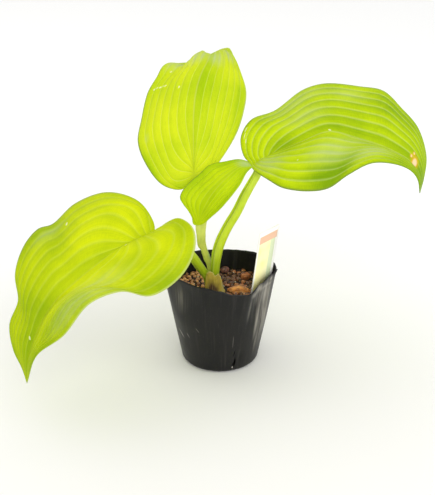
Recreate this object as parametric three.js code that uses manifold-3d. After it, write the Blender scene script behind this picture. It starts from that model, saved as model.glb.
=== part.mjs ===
import * as THREE from 'three';
import { mergeVertices } from 'three/addons/utils/BufferGeometryUtils.js';
import Module from 'manifold-3d';

const wasm = await Module();
wasm.setup();

// A young hosta in a thin black nursery pot. Sizes are in millimetres, +Z is up,
// the plant is seen from the -Y side and the origin is the middle of the pot's flat base.

// Every piece that rests in another stands this far off its wall.
const CLEARANCE = 0.3;
// Slivers left by cutting and fusing are cleared away down to this size.
const SLIVER = 0.02;

// Pot of the 9 cm trade size: soft film, its rim pushed out of round by hand.
const POT_BASE_RADIUS = 30.5;
const POT_RIM_RADIUS = 45;
const POT_HEIGHT = 76;
const POT_FOOT_ROUND = 5;
const POT_WALL = 0.9;
const POT_FLOOR = 1.4;
const POT_ROUND_BELOW = 40;
const POT_COLUMNS = 60;
const POT_WALL_ROWS = [0, 0.12, 0.24, 0.4, 0.55, 0.7, 0.85, 1];
const RIM = [
  { turn: 0, radius: 44.5, height: 78.2 },
  { turn: 45, radius: 45.5, height: 76.5 },
  { turn: 90, radius: 45, height: 75 },
  { turn: 135, radius: 45, height: 76 },
  { turn: 180, radius: 45.5, height: 78 },
  { turn: 226, radius: 40, height: 80.2 },
  { turn: 254, radius: 41.3, height: 79.7 },
  { turn: 270, radius: 44.1, height: 78.8 },
  { turn: 284, radius: 46.5, height: 76 },
  { turn: 297, radius: 48, height: 75.2 },
  { turn: 315, radius: 43.6, height: 79.4 },
  { turn: 330, radius: 43, height: 81.3 },
  { turn: 344, radius: 43.9, height: 82 },
];
// Upright creases where the film has buckled: angle, half width and depth.
const POT_CREASES = [
  { turn: 296, width: 5, depth: 0.9, from: 3, to: 24 },
  { turn: 312, width: 6, depth: 0.9, from: 40, to: 82 },
  { turn: 328, width: 6, depth: 0.7, from: 36, to: 82 },
  { turn: 236, width: 8, depth: 0.6, from: 50, to: 84 },
];
const DRAIN_HOLES = 6;
const DRAIN_RING = 20;
const DRAIN_RADIUS = 3;

// Potting mix, filled to well below the rim.
const SOIL_TOP = 59.4;
const SOIL_RINGS = [36, 29, 21, 11];

// Crown: the short stout stem in the mix that carries the leaf stalks.
const CROWN = { x: -5.2, y: -4.2, radius: 8.2, hole: 9, bottom: 36, top: 61.2 };
const CROWN_ROUNDING = 1.5;
const STALK_SEAT = 57;

// Papery brown bud scale around the front of the stalks, its edge torn into two points.
const SCALE = { radius: 9, flare: 0.5, bottom: 55, thickness: 0.8, ripple: 0.12 };
const SCALE_EDGE = [
  { turn: 226, height: 68 },
  { turn: 231, height: 76 },
  { turn: 237, height: 79.5 },
  { turn: 254, height: 81.1 },
  { turn: 264, height: 80.6 },
  { turn: 280, height: 77.6 },
  { turn: 293, height: 79 },
  { turn: 304, height: 76.5 },
  { turn: 314, height: 72 },
  { turn: 324, height: 66.1 },
  { turn: 332, height: 63 },
  { turn: 345, height: 62 },
];

// Plant label: a stiff plastic card standing inside the right front of the rim.
const LABEL = {
  width: 24.5,
  height: 72,
  thickness: 0.8,
  corner: 1,
  foot: 5,
  topLeft: new THREE.Vector3(29.4, -34.7, 121.6),
  across: new THREE.Vector3(14.4, 17.5, 0.3),
  up: new THREE.Vector3(4.4, -5, 43.3),
};

// Bark chips lying half sunk in the mix: centre, half sizes and turn about Z.
const CHIP_BUMPS = 0.09;
const CHIP_SQUARENESS = 0.6;
const CHIPS = {
  bark_chip_front: { at: [15, -3, 60.8], half: [8.6, 3.4, 2.3], turn: -4, seed: 1.7, colour: 0xa9683a },
  bark_chip_round: { at: [21, 21, 61], half: [4.1, 3.6, 3.1], turn: 20, seed: 4.1, colour: 0x7a4526 },
  bark_chip_small: { at: [4.3, 35, 60.6], half: [3.4, 3, 2.4], turn: 50, seed: 7.3, colour: 0x7d5247 },
};

// Leaves. Each blade hangs between its midrib and its two margins, all given as points
// from the notch at the stalk to the tip; the tip itself is the last point of the midrib.
// fan: how the veins leave the midrib. They start over the share "spread" of it, keep step
// with the margin by the power "pace", and run ahead of it by "skip" once past "ramp".
// arch: how far each half swells above the line from midrib to margin, by place.
// swells: single waves of a half, by place along the margin and across the half.
// stalk: points from the crown up to the notch with the width of the stalk there,
// depth: its depth over its width, upper: the side its groove is on.
// rib: the ridge the stalk runs on as under the blade, place along the midrib and width.
const LONG_RIB = [
  [0.05, 4], [0.1, 3.5], [0.18, 3], [0.28, 2.6], [0.38, 2.2], [0.5, 1.9], [0.6, 1.6],
  [0.7, 1.4], [0.8, 1.2],
];
const SHORT_RIB = [[0.35, 3.5], [0.5, 2.4], [0.65, 1.8], [0.8, 1.2]];
const BLADE_THICKNESS = 0.7;
const PLEAT_HEIGHT = 0.8;
const PLEAT_ROUNDNESS = 0.8;
const LEAVES = {
  leaf_left: {
    colour: 0xb9cf1c,
    veins: 7,
    rows: 20,
    fan: { spread: 0.2, pace: 1, skip: 0.15, ramp: 0.5 },
    midrib: [
      [-48, -38, 123], [-68, -54, 121], [-93, -72, 108], [-115, -86, 91],
      [-129, -92, 69], [-136, -94, 48], [-139, -92, 29],
    ],
    left: [
      [-39, -42, 133], [-29, -50, 140], [-19, -60, 136], [-18, -68, 123], [-27, -76, 107],
      [-47, -90, 98], [-67, -104, 108], [-87, -112, 103], [-106, -112, 79], [-127, -104, 59],
    ],
    right: [
      [-50, -30, 130], [-63, -12, 140], [-86, -6, 144], [-109, -14, 138], [-125, -26, 126],
      [-134, -36, 126], [-143, -46, 117], [-148, -60, 101], [-145, -70, 85], [-151, -78, 69],
      [-148, -86, 53], [-142, -90, 40],
    ],
    archLeft: [[0, 0], [0.1, -2], [0.3, 5], [0.5, 6], [0.75, 2], [1, 0]],
    archRight: [[0, 0], [0.25, 6], [0.6, 4], [1, 0]],
    swells: [],
    upper: [0.6, 0.4, 0.7],
    depth: 0.92,
    rib: LONG_RIB,
    stalk: [
      [-9.2, -6.2, STALK_SEAT, 4.8], [-9.4, -6.2, 66, 5.4], [-10.9, -6.5, 74, 6.6],
      [-13, -7.1, 78, 7.4], [-15.3, -8.1, 82, 7.7], [-17.8, -9.8, 86.6, 7.8],
      [-21, -12.8, 93.2, 7.8], [-30, -21, 107, 7.2], [-40, -31, 117.5, 6.5],
    ],
  },
  leaf_right: {
    colour: 0xb4cb1e,
    veins: 7,
    rows: 20,
    fan: { spread: 0.12, pace: 0.95, skip: 0, ramp: 0.1 },
    midrib: [
      [23.3, 3, 161.6], [41, 3, 172], [60, 0, 181], [81, -6, 191], [100, -10, 187],
      [121, -14, 181], [139, -18, 172], [147, -20, 161], [148, -20, 148],
    ],
    left: [
      [23, 8, 162], [18, 13, 167], [16, 22, 179], [24, 32, 190], [43, 42, 195], [65, 48, 210],
      [82, 48, 215], [109, 42, 214], [126, 36, 212], [139, 26, 201], [150, 14, 189],
      [155, 0, 171], [152, -12, 158],
    ],
    right: [
      [25.8, -4, 160.4], [36, -16, 157], [46, -28, 155], [63, -38, 156], [77, -43, 160],
      [90, -46, 171], [105, -45, 179], [121, -38, 177], [137, -29, 169], [145, -23, 159],
    ],
    archLeft: [[0, 0], [0.3, 5], [0.6, 5], [1, 0]],
    archRight: [[0, 0], [0.2, 5], [0.5, 5], [0.8, 2], [1, 0]],
    swells: [],
    upper: [-0.8, -0.45, 0.3],
    depth: 0.92,
    rib: LONG_RIB,
    stalk: [
      [-2.2, -7, STALK_SEAT, 5], [-2.6, -7.2, 68, 6.6], [-4, -7.2, 77.2, 7.4],
      [-3.6, -7, 83.8, 7.8], [-2.2, -6.4, 94.6, 8.7], [0.4, -5.4, 103.5, 8.6],
      [6.1, -4, 115.5, 8.3], [12.7, -2.4, 126.6, 8.2], [18.6, -0.2, 138.7, 7.9],
      [24.6, 2, 149.3, 7.5], [28.1, 3.2, 155.3, 7.2],
    ],
  },
  leaf_back: {
    colour: 0xc6dc26,
    veins: 7,
    rows: 20,
    fan: { spread: 0.05, pace: 0.9, skip: 0.12, ramp: 0.35 },
    midrib: [
      [-20, 0, 153], [-20.4, 12, 175], [-20.4, 26, 194.5], [-18.9, 38, 209], [-15, 52, 221],
      [-10.3, 64, 228], [-7, 82, 231.4], [-6, 104, 220], [-6, 120, 202],
    ],
    left: [
      [-29, -2, 145], [-44, 2, 147], [-57, 12, 160], [-64, 26, 174], [-62, 40, 188],
      [-57.3, 54, 206.6], [-50.7, 62, 216.8], [-45, 70, 225], [-36, 78, 224], [-26, 90, 222],
      [-16, 108, 212],
    ],
    right: [
      [-11, 2, 153], [1, 14, 164], [13, 30, 180], [19, 46, 194], [21, 60, 206],
      [16.5, 76, 219], [11.3, 90, 228.3], [6.4, 106, 231.5],
    ],
    archLeft: [[0, 0], [0.4, 3], [0.62, 2], [1, 0]],
    archRight: [[0, 0], [0.4, 3], [0.7, 4.5], [1, 0]],
    swells: [
      { half: 'left', along: 0.8, length: 0.12, across: 0.28, breadth: 0.16, height: 6.5 },
      { half: 'left', along: 0.74, length: 0.16, across: 0.62, breadth: 0.2, height: -8 },
    ],
    upper: [0, -0.8, 0.6],
    depth: 0.9,
    rib: LONG_RIB,
    stalk: [
      [-2.8, -0.6, STALK_SEAT, 4.2], [-3.2, 0.4, 66, 4.6], [-4.2, 3.2, 72, 4.8], [-7, 3.8, 78, 5],
      [-12.4, 4.6, 91, 5.4], [-15.4, 3.4, 108, 5.6], [-18, 1.2, 129, 5.8], [-19.5, -0.8, 144, 6],
    ],
  },
  leaf_young: {
    colour: 0xaccb14,
    veins: 5,
    rows: 16,
    fan: { spread: 0.05, pace: 0.95, skip: 0.1, ramp: 0.3 },
    midrib: [
      [-17.2, -16, 120.8], [-12.1, -17.5, 135.4], [-4, -20, 150], [6, -20, 161],
      [15, -17, 167], [24.2, -12, 165.9],
    ],
    left: [
      [-20.3, -15, 121.7], [-21.3, -14.4, 126.6], [-24, -13.8, 131.6], [-27.7, -13.3, 136.6],
      [-30.2, -12.8, 141.6], [-28.4, -12, 147], [-22, -10, 154], [-16, -9, 159],
      [-8, -8, 166], [4, -8, 169], [14, -9, 170.8], [21.4, -10.5, 168.9],
    ],
    right: [
      [-12.9, -17.6, 122.8], [-6.7, -19.5, 129], [-0.2, -23, 136.4], [5.1, -27, 144.2],
      [10, -28, 151], [15, -27, 158], [19, -22, 164],
    ],
    archLeft: [[0, 0], [0.5, -4], [1, 0]],
    archRight: [[0, 0], [0.5, -3], [1, 0]],
    swells: [],
    upper: [-0.5, 0.7, 0.5],
    depth: 0.6,
    rib: SHORT_RIB,
    stalk: [
      [-7.8, -0.2, STALK_SEAT, 3.8], [-8, -0.6, 70, 4], [-8.7, -1.3, 82, 4.2],
      [-10.9, -2.8, 88, 4.5], [-12.4, -4.8, 96, 5], [-14.2, -7.2, 102, 7.1],
      [-14.6, -10, 110.5, 7.8], [-14.6, -10.8, 119, 9.4], [-13.4, -11.6, 125, 9.9],
      [-10.6, -13.8, 132, 8.4], [-8.6, -15.6, 138, 5.5],
    ],
  },
};
// The stalk is round with a groove along its upper side, as deep as this share of it.
const STALK_GROOVE = 0.45;
const STALK_ROWS = 17;
const STALK_SIDES = 12;
// The rib is this deep over its width, its middle this share of the width under the blade.
const RIB_DEPTH = 0.5;
const RIB_SINK = 0.3;

const radians = THREE.MathUtils.degToRad;
const mix = THREE.MathUtils.lerp;

function smooth(share) {
  const t = THREE.MathUtils.clamp(share, 0, 1);
  return t * t * (3 - 2 * t);
}

// Value at a place of a list of [place, value] pairs, eased between neighbours.
function station(table, place) {
  for (let i = 1; i < table.length; i += 1) {
    const [from, low] = table[i - 1];
    const [to, high] = table[i];
    if (place <= to) {
      return mix(low, high, smooth((place - from) / (to - from)));
    }
  }
  return table[table.length - 1][1];
}

// Value of a key around a closed ring of stations, eased between neighbours.
function around(ring, key, turn) {
  const at = THREE.MathUtils.euclideanModulo(turn, 360);
  const closed = [...ring, { ...ring[0], turn: 360 }];
  return station(closed.map((entry) => [entry.turn, entry[key]]), at);
}

// Evenly measured smooth curve through a list of points.
class Curve {
  constructor(points) {
    const spline = new THREE.CatmullRomCurve3(points, false, 'centripetal');
    this.points = spline.getPoints(points.length * 24);
    this.reach = [0];
    for (let i = 1; i < this.points.length; i += 1) {
      this.reach.push(this.reach[i - 1] + this.points[i].distanceTo(this.points[i - 1]));
    }
    this.length = this.reach[this.reach.length - 1];
  }

  at(share) {
    const target = THREE.MathUtils.clamp(share, 0, 1) * this.length;
    let i = 1;
    while (i < this.points.length - 1 && this.reach[i] < target) {
      i += 1;
    }
    const part = (target - this.reach[i - 1]) / (this.reach[i] - this.reach[i - 1]);
    return this.points[i - 1].clone().lerp(this.points[i], part);
  }

  direction(share) {
    const step = 0.004;
    const low = Math.min(Math.max(share - step, 0), 1 - 2 * step);
    return this.at(low + 2 * step).sub(this.at(low)).normalize();
  }
}

// Solid from a closed triangle mesh.
function solid(points, faces) {
  const vertProperties = new Float32Array(points.flatMap((point) => [point.x, point.y, point.z]));
  const triVerts = new Uint32Array(faces.flat());
  return new wasm.Manifold(new wasm.Mesh({ numProp: 3, vertProperties, triVerts }));
}

// Solid from a closed three.js geometry.
function solidOf(geometry) {
  const bare = geometry.clone();
  bare.deleteAttribute('normal');
  bare.deleteAttribute('uv');
  const welded = mergeVertices(bare, 1e-4);
  const place = welded.getAttribute('position');
  const points = [];
  for (let i = 0; i < place.count; i += 1) {
    points.push(new THREE.Vector3().fromBufferAttribute(place, i));
  }
  const faces = [];
  for (let i = 0; i < welded.index.count; i += 3) {
    faces.push([welded.index.getX(i), welded.index.getX(i + 1), welded.index.getX(i + 2)]);
  }
  return solid(points, faces);
}

// The outer shell of a body, without loose crumbs and with closed pockets filled.
function mainBody(body) {
  const larger = (one, other) => (other.volume() > one.volume() ? other : one);
  return body.decompose().reduce(larger);
}

// Turned body: every row gives the radius and height at an angle; the ends meet the axis.
function turned(rows, columns, centre = { x: 0, y: 0 }) {
  const points = [];
  const ring = (row, column) => (row - 1) * columns + (column % columns) + 1;
  const place = (row, turn) => {
    const [radius, height] = row(turn);
    const [x, y] = [radius * Math.cos(radians(turn)), radius * Math.sin(radians(turn))];
    return new THREE.Vector3(centre.x + x, centre.y + y, height);
  };
  points.push(place(rows[0], 0));
  for (let i = 1; i < rows.length - 1; i += 1) {
    for (let j = 0; j < columns; j += 1) {
      points.push(place(rows[i], (360 * j) / columns));
    }
  }
  points.push(place(rows[rows.length - 1], 0));
  const last = points.length - 1;
  const faces = [];
  for (let j = 0; j < columns; j += 1) {
    faces.push([0, ring(1, j + 1), ring(1, j)]);
    for (let i = 1; i < rows.length - 2; i += 1) {
      faces.push([ring(i, j), ring(i, j + 1), ring(i + 1, j + 1)]);
      faces.push([ring(i, j), ring(i + 1, j + 1), ring(i + 1, j)]);
    }
    faces.push([last, ring(rows.length - 2, j), ring(rows.length - 2, j + 1)]);
  }
  return solid(points, faces);
}

// Thickens an open sheet to both sides; both faces carry the same triangles.
function thickened(points, faces, thickness) {
  const normals = points.map(() => new THREE.Vector3());
  const corner = new THREE.Vector3();
  for (const [a, b, c] of faces) {
    const side = points[b].clone().sub(points[a]);
    corner.copy(points[c]).sub(points[a]);
    side.cross(corner);
    for (const i of [a, b, c]) {
      normals[i].add(side);
    }
  }
  const half = thickness / 2;
  const upper = points.map((point, i) => point.clone().addScaledVector(normals[i].normalize(), half));
  const lower = points.map((point, i) => point.clone().addScaledVector(normals[i], -half));
  const below = points.length;
  const all = [];
  const open = new Map();
  for (const [a, b, c] of faces) {
    all.push([a, b, c], [below + a, below + c, below + b]);
    for (const [from, to] of [[a, b], [b, c], [c, a]]) {
      if (!open.delete(`${to},${from}`)) {
        open.set(`${from},${to}`, [from, to]);
      }
    }
  }
  for (const [from, to] of open.values()) {
    all.push([to, from, below + from], [to, below + from, below + to]);
  }
  return solid([...upper, ...lower], all);
}

// Radius of the pot's outer wall: round low down, following the bent rim higher up.
function potRadius(turn, height) {
  const taper = mix(POT_BASE_RADIUS, POT_RIM_RADIUS, height / POT_HEIGHT);
  const slack = smooth((height - POT_ROUND_BELOW) / (POT_HEIGHT - POT_ROUND_BELOW));
  let radius = taper + slack * (around(RIM, 'radius', turn) - POT_RIM_RADIUS);
  for (const crease of POT_CREASES) {
    const middle = (crease.from + crease.to) / 2;
    const fade = smooth(1 - Math.abs(height - middle) / (middle - crease.from));
    radius -= crease.depth * fade * Math.exp(-(((turn - crease.turn) / crease.width) ** 2));
  }
  return radius;
}

// Row of the pot's wall at a share of its height, moved inward by an inset.
function wallRow(share, inset) {
  return (turn) => {
    const height = mix(POT_FOOT_ROUND, around(RIM, 'height', turn), share);
    return [potRadius(turn, height) - inset, height];
  };
}

function potSolid() {
  const round = (share) => (turn) => {
    const angle = (share * Math.PI) / 2;
    const reach = potRadius(turn, POT_FOOT_ROUND) - POT_FOOT_ROUND * (1 - Math.sin(angle));
    return [reach, POT_FOOT_ROUND * (1 - Math.cos(angle))];
  };
  const rows = [
    () => [0, 0],
    () => [POT_BASE_RADIUS / 2, 0],
    round(0),
    round(0.4),
    round(0.7),
    ...POT_WALL_ROWS.map((share) => wallRow(share, 0)),
    ...[...POT_WALL_ROWS].reverse().map((share) => wallRow(share, POT_WALL)),
    (turn) => [potRadius(turn, POT_FOOT_ROUND) - POT_FOOT_ROUND, POT_FLOOR],
    () => [0, POT_FLOOR],
  ];
  let body = turned(rows, POT_COLUMNS);
  for (let i = 0; i < DRAIN_HOLES; i += 1) {
    const angle = ((i + 0.5) * 2 * Math.PI) / DRAIN_HOLES;
    const drill = new THREE.CylinderGeometry(DRAIN_RADIUS, DRAIN_RADIUS, 4 * POT_FLOOR, 20);
    drill.rotateX(Math.PI / 2);
    drill.translate(DRAIN_RING * Math.cos(angle), DRAIN_RING * Math.sin(angle), 0);
    body = body.subtract(solidOf(drill));
  }
  return body;
}

// Uneven top of the potting mix.
function soilTop(x, y) {
  const broad = 0.7 * Math.sin(0.16 * x + 1.1) * Math.cos(0.13 * y - 0.4);
  const lumps = 0.5 * Math.sin(0.52 * x + 0.31 * y) + 0.4 * Math.cos(0.43 * x - 0.61 * y + 2);
  return SOIL_TOP + broad + lumps;
}

function soilSolid(cutters) {
  const inset = POT_WALL + CLEARANCE;
  const below = POT_WALL_ROWS.findLastIndex((share) => share * POT_HEIGHT < SOIL_TOP - 6);
  const brim = wallRow((POT_WALL_ROWS[below] + POT_WALL_ROWS[below + 1]) / 2, inset);
  const top = (radius) => (turn) => {
    const angle = radians(turn);
    return [radius, soilTop(radius * Math.cos(angle), radius * Math.sin(angle))];
  };
  const foot = POT_FLOOR + CLEARANCE;
  const rows = [
    () => [0, foot],
    (turn) => [potRadius(turn, POT_FOOT_ROUND) - POT_FOOT_ROUND - CLEARANCE, foot],
    ...POT_WALL_ROWS.slice(0, below + 1).map((share) => wallRow(share, inset)),
    brim,
    ...SOIL_RINGS.map(top),
    () => [0, soilTop(0, 0)],
  ];
  return cutters.reduce((body, cutter) => body.subtract(cutter), turned(rows, POT_COLUMNS));
}

// Lumpy stub of stem with a plain hole for each stalk.
function crownSolid(stalks) {
  const at = (share, height) => (turn) => {
    const lump = 0.2 * Math.sin(radians(3 * turn) + height / 4) + 0.15 * Math.cos(radians(5 * turn));
    return [(CROWN.radius - 0.35 + lump) * share, height];
  };
  const rows = [
    () => [0, CROWN.bottom],
    at(0.55, CROWN.bottom),
    at(0.85, CROWN.bottom + 3),
    at(1, CROWN.bottom + 9),
    at(1, CROWN.top - 4 * CROWN_ROUNDING),
    at(1, CROWN.top - CROWN_ROUNDING),
    at(0.88, CROWN.top),
    () => [0, CROWN.top],
  ];
  return stalks.reduce((body, stalk) => body.subtract(stalk), turned(rows, 30, CROWN));
}

// Room for the crown in the mix, open at the top.
function crownHole() {
  const rows = [
    () => [0, CROWN.bottom - CLEARANCE],
    () => [CROWN.hole, CROWN.bottom - CLEARANCE],
    () => [CROWN.hole, CROWN.top + 4],
    () => [0, CROWN.top + 4],
  ];
  return turned(rows, 30, CROWN);
}

// Bud scale as a curved sheet; the margin thickens and deepens it into its slot.
function scaleSolid(margin) {
  const columns = 25;
  const rows = 6;
  const first = SCALE_EDGE[0].turn;
  const last = SCALE_EDGE[SCALE_EDGE.length - 1].turn;
  const edge = SCALE_EDGE.map((entry) => [entry.turn, entry.height]);
  const bottom = SCALE.bottom - margin;
  const slack = THREE.MathUtils.radToDeg(margin / SCALE.radius);
  const points = [];
  const faces = [];
  for (let i = 0; i <= columns; i += 1) {
    const turn = mix(first, last, i / columns) + Math.sign(i - columns / 2) * slack;
    const height = station(edge, turn);
    for (let j = 0; j <= rows; j += 1) {
      const share = j / rows;
      const radius = SCALE.radius + SCALE.flare * share + SCALE.ripple * Math.sin(i * 1.9);
      const angle = radians(turn);
      const x = CROWN.x + radius * Math.cos(angle);
      const y = CROWN.y + radius * Math.sin(angle);
      points.push(new THREE.Vector3(x, y, mix(bottom, height, share)));
    }
  }
  const index = (i, j) => i * (rows + 1) + j;
  for (let i = 0; i < columns; i += 1) {
    for (let j = 0; j < rows; j += 1) {
      faces.push([index(i, j), index(i + 1, j), index(i + 1, j + 1)]);
      faces.push([index(i, j), index(i + 1, j + 1), index(i, j + 1)]);
    }
  }
  return thickened(points, faces, SCALE.thickness + 2 * margin);
}

// Card with rounded corners, placed by its upper left corner and its two directions.
function labelSolid(margin) {
  const width = LABEL.width + 2 * margin;
  const height = LABEL.height + margin;
  const { corner, foot } = LABEL;
  const [left, right] = [-margin, width - margin];
  const quarter = Math.PI / 2;
  const outline = new THREE.Shape();
  outline.moveTo(left + foot, -height);
  outline.lineTo(right - foot, -height);
  outline.absarc(right - foot, -height + foot, foot, -quarter, 0, false);
  outline.lineTo(right, -corner);
  outline.absarc(right - corner, -corner, corner, 0, quarter, false);
  outline.lineTo(left + corner, 0);
  outline.absarc(left + corner, -corner, corner, quarter, 2 * quarter, false);
  outline.lineTo(left, -height + foot);
  outline.absarc(left + foot, -height + foot, foot, 2 * quarter, 3 * quarter, false);
  const depth = LABEL.thickness + 2 * margin;
  const card = new THREE.ExtrudeGeometry(outline, { depth, bevelEnabled: false, curveSegments: 5 });
  card.translate(0, 0, -depth / 2);
  const across = LABEL.across.clone().normalize();
  const face = across.clone().cross(LABEL.up).normalize();
  const up = face.clone().cross(across);
  card.applyMatrix4(new THREE.Matrix4().makeBasis(across, up, face).setPosition(LABEL.topLeft));
  return solidOf(card);
}

// Bark chip: a rounded, uneven slab.
function chipSolid(chip, margin) {
  const ball = new THREE.IcosahedronGeometry(1, 3);
  const lump = mergeVertices(ball.deleteAttribute('normal').deleteAttribute('uv'));
  const place = lump.getAttribute('position');
  const point = new THREE.Vector3();
  for (let i = 0; i < place.count; i += 1) {
    point.fromBufferAttribute(place, i);
    const square = 1 / Math.pow(point.x ** 4 + point.y ** 4 + point.z ** 4, 0.25);
    const bump = Math.sin(4 * point.x + chip.seed) * Math.cos(5 * point.y + 2 * chip.seed);
    const reach = mix(1, square, CHIP_SQUARENESS) * (1 + CHIP_BUMPS * bump);
    place.setXYZ(
      i,
      point.x * (reach * chip.half[0] + margin),
      point.y * (reach * chip.half[1] + margin),
      point.z * (reach * chip.half[2] + margin),
    );
  }
  lump.rotateZ(radians(chip.turn));
  lump.translate(...chip.at);
  return solidOf(lump);
}

// The curved surface of a blade, asked for by half, place along (0 notch, 1 tip)
// and place across (0 midrib, 1 margin). The veins run along lines of equal place across.
class Blade {
  constructor(leaf) {
    const vectors = (rows) => rows.map((row) => new THREE.Vector3(...row));
    const midrib = vectors(leaf.midrib);
    const ends = (rows) => [midrib[0], ...vectors(rows), midrib[midrib.length - 1]];
    this.leaf = leaf;
    this.midrib = new Curve(midrib);
    this.margin = { left: new Curve(ends(leaf.left)), right: new Curve(ends(leaf.right)) };
    this.arch = { left: leaf.archLeft, right: leaf.archRight };
  }

  // From the midrib to the margin of a half, at a place along it.
  reach(half, along) {
    return this.margin[half].at(along).sub(this.midrib.at(along ** this.leaf.fan.pace));
  }

  normal(half, along) {
    const near = THREE.MathUtils.clamp(along, 0.06, 0.94);
    const direction = this.midrib.direction(near ** this.leaf.fan.pace);
    const normal = direction.cross(this.reach(half, near)).normalize();
    return half === 'left' ? normal : normal.negate();
  }

  relief(half, along, across) {
    const { swells, veins } = this.leaf;
    const width = this.reach(half, along).length();
    const bow = 4 * across * (1 - across) * Math.min(width / 25, 1);
    let height = station(this.arch[half], along) * bow;
    for (const swell of swells.filter((entry) => entry.half === half)) {
      const lengthways = ((along - swell.along) / swell.length) ** 2;
      const sideways = ((across - swell.across) / swell.breadth) ** 2;
      height += swell.height * Math.exp(-lengthways - sideways) * smooth(across * 10);
    }
    const pleat = Math.abs(Math.sin(Math.PI * veins * across)) ** PLEAT_ROUNDNESS - 0.5;
    const fade = Math.min((width * across) / 12, 1) * smooth((1 - along) / 0.3);
    return height + PLEAT_HEIGHT * pleat * fade;
  }

  point(half, along, across) {
    const { spread, pace, skip, ramp } = this.leaf.fan;
    const inner = 1 - across;
    const start = spread * inner ** 1.3;
    const ahead = along + (1 - along) * skip * inner;
    const risen = along < ramp * inner ? along / (ramp * inner) : 1;
    const share = across * (1 - (1 - risen) ** 2);
    return this.midrib
      .at(start + (1 - start) * along ** pace)
      .addScaledVector(this.reach(half, ahead), share)
      .addScaledVector(this.normal(half, along), this.relief(half, along, across));
  }
}

// Blade as one sheet: both halves share the midrib and come together in the tip.
function bladeSolid(blade) {
  const { rows, veins } = blade.leaf;
  const columns = 2 * veins;
  const points = [];
  const known = new Map();
  const index = (half, i, j) => {
    let name = `${half} ${i} ${j}`;
    if (i === rows) {
      name = 'tip';
    } else if (i === 0) {
      name = `notch ${j}`;
    } else if (j === 0) {
      name = `midrib ${i}`;
    }
    if (!known.has(name)) {
      known.set(name, points.length);
      points.push(blade.point(half, i / rows, j / columns));
    }
    return known.get(name);
  };
  const faces = [];
  for (const half of ['left', 'right']) {
    for (let i = 0; i < rows; i += 1) {
      for (let j = 0; j < columns; j += 1) {
        const [a, b] = [index(half, i, j), index(half, i + 1, j)];
        const [c, d] = [index(half, i + 1, j + 1), index(half, i, j + 1)];
        const pair = i === rows - 1 ? [[a, b, d]] : [[a, b, c], [a, c, d]];
        faces.push(...pair.map((face) => (half === 'left' ? face : [...face].reverse())));
      }
    }
  }
  return thickened(points, faces, BLADE_THICKNESS);
}

// Cross-section of the stalk, from its left side round below: the point on top is pulled
// in by the groove.
function stalkSection(stop, margin) {
  const half = stop.width / 2 + margin;
  const tall = (stop.width * stop.depth) / 2 + margin;
  const section = [];
  for (let k = 0; k < STALK_SIDES; k += 1) {
    const angle = Math.PI * (1 + (2 * k) / STALK_SIDES);
    const kept = k === (3 * STALK_SIDES) / 4 ? 1 - stop.groove : 1;
    section.push([half * Math.cos(angle), tall * Math.sin(angle) * kept]);
  }
  return section;
}

// Stalk and the rib it runs into, drawn along one path.
function stalkSolid(blade, margin) {
  const { leaf } = blade;
  const upper = new THREE.Vector3(...leaf.upper).normalize();
  const stops = leaf.stalk.map(([x, y, z, width], i) => {
    const groove = i < 2 || i === leaf.stalk.length - 1 ? 0 : STALK_GROOVE;
    return { at: new THREE.Vector3(x, y, z), width, groove, depth: leaf.depth, upper };
  });
  stops[0].at.z -= margin;
  for (const [share, width] of leaf.rib) {
    const along = share ** (1 / leaf.fan.pace);
    const normal = blade.normal('left', along).add(blade.normal('right', along)).normalize();
    const at = blade.midrib.at(share).addScaledVector(normal, -width * RIB_SINK);
    stops.push({ at, width, groove: 0, depth: RIB_DEPTH, upper: normal });
  }
  const path = new Curve(stops.map((stop) => stop.at));
  const marks = [0];
  for (let i = 1; i < stops.length; i += 1) {
    marks.push(marks[i - 1] + stops[i].at.distanceTo(stops[i - 1].at));
  }
  const total = marks[marks.length - 1];
  const table = (value) => stops.map((stop, i) => [marks[i] / total, value(stop)]);
  const tables = ['width', 'depth', 'groove'].map((key) => table((stop) => stop[key]));
  const uppers = ['x', 'y', 'z'].map((axis) => table((stop) => stop.upper[axis]));
  const points = [];
  for (let i = 0; i <= STALK_ROWS; i += 1) {
    const share = i / STALK_ROWS;
    const direction = path.direction(share);
    const up = new THREE.Vector3(...uppers.map((axis) => station(axis, share)));
    const side = up.clone().cross(direction).normalize();
    up.copy(direction).cross(side);
    const [width, depth, groove] = tables.map((entries) => station(entries, share));
    for (const [x, y] of stalkSection({ width, depth, groove }, margin)) {
      points.push(path.at(share).addScaledVector(side, x).addScaledVector(up, y));
    }
  }
  points.push(path.at(0), path.at(1));
  return solid(points, tubeFaces(STALK_ROWS, STALK_SIDES));
}

// Faces of a closed tube of rings, with the middles of its two ends as last points.
function tubeFaces(rows, sides) {
  const ring = (i, k) => i * sides + (k % sides);
  const first = (rows + 1) * sides;
  const faces = [];
  for (let k = 0; k < sides; k += 1) {
    for (let i = 0; i < rows; i += 1) {
      faces.push([ring(i, k), ring(i, k + 1), ring(i + 1, k + 1)]);
      faces.push([ring(i, k), ring(i + 1, k + 1), ring(i + 1, k)]);
    }
    faces.push([first, ring(0, k + 1), ring(0, k)]);
    faces.push([first + 1, ring(rows, k), ring(rows, k + 1)]);
  }
  return faces;
}

function named(name, body, colour, roughness) {
  const { vertProperties, triVerts } = mainBody(body.simplify(SLIVER)).getMesh();
  const geometry = new THREE.BufferGeometry();
  geometry.setAttribute('position', new THREE.BufferAttribute(vertProperties, 3));
  geometry.setIndex(new THREE.BufferAttribute(triVerts, 1));
  geometry.computeVertexNormals();
  const surface = new THREE.MeshStandardMaterial({ color: colour, roughness, metalness: 0 });
  const mesh = new THREE.Mesh(geometry, surface);
  mesh.name = name;
  return mesh;
}

// Stalk and blade grown together.
function leafSolid(blade) {
  return bladeSolid(blade).add(stalkSolid(blade, 0));
}

const group = new THREE.Group();
group.name = 'potted_hosta';

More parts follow.
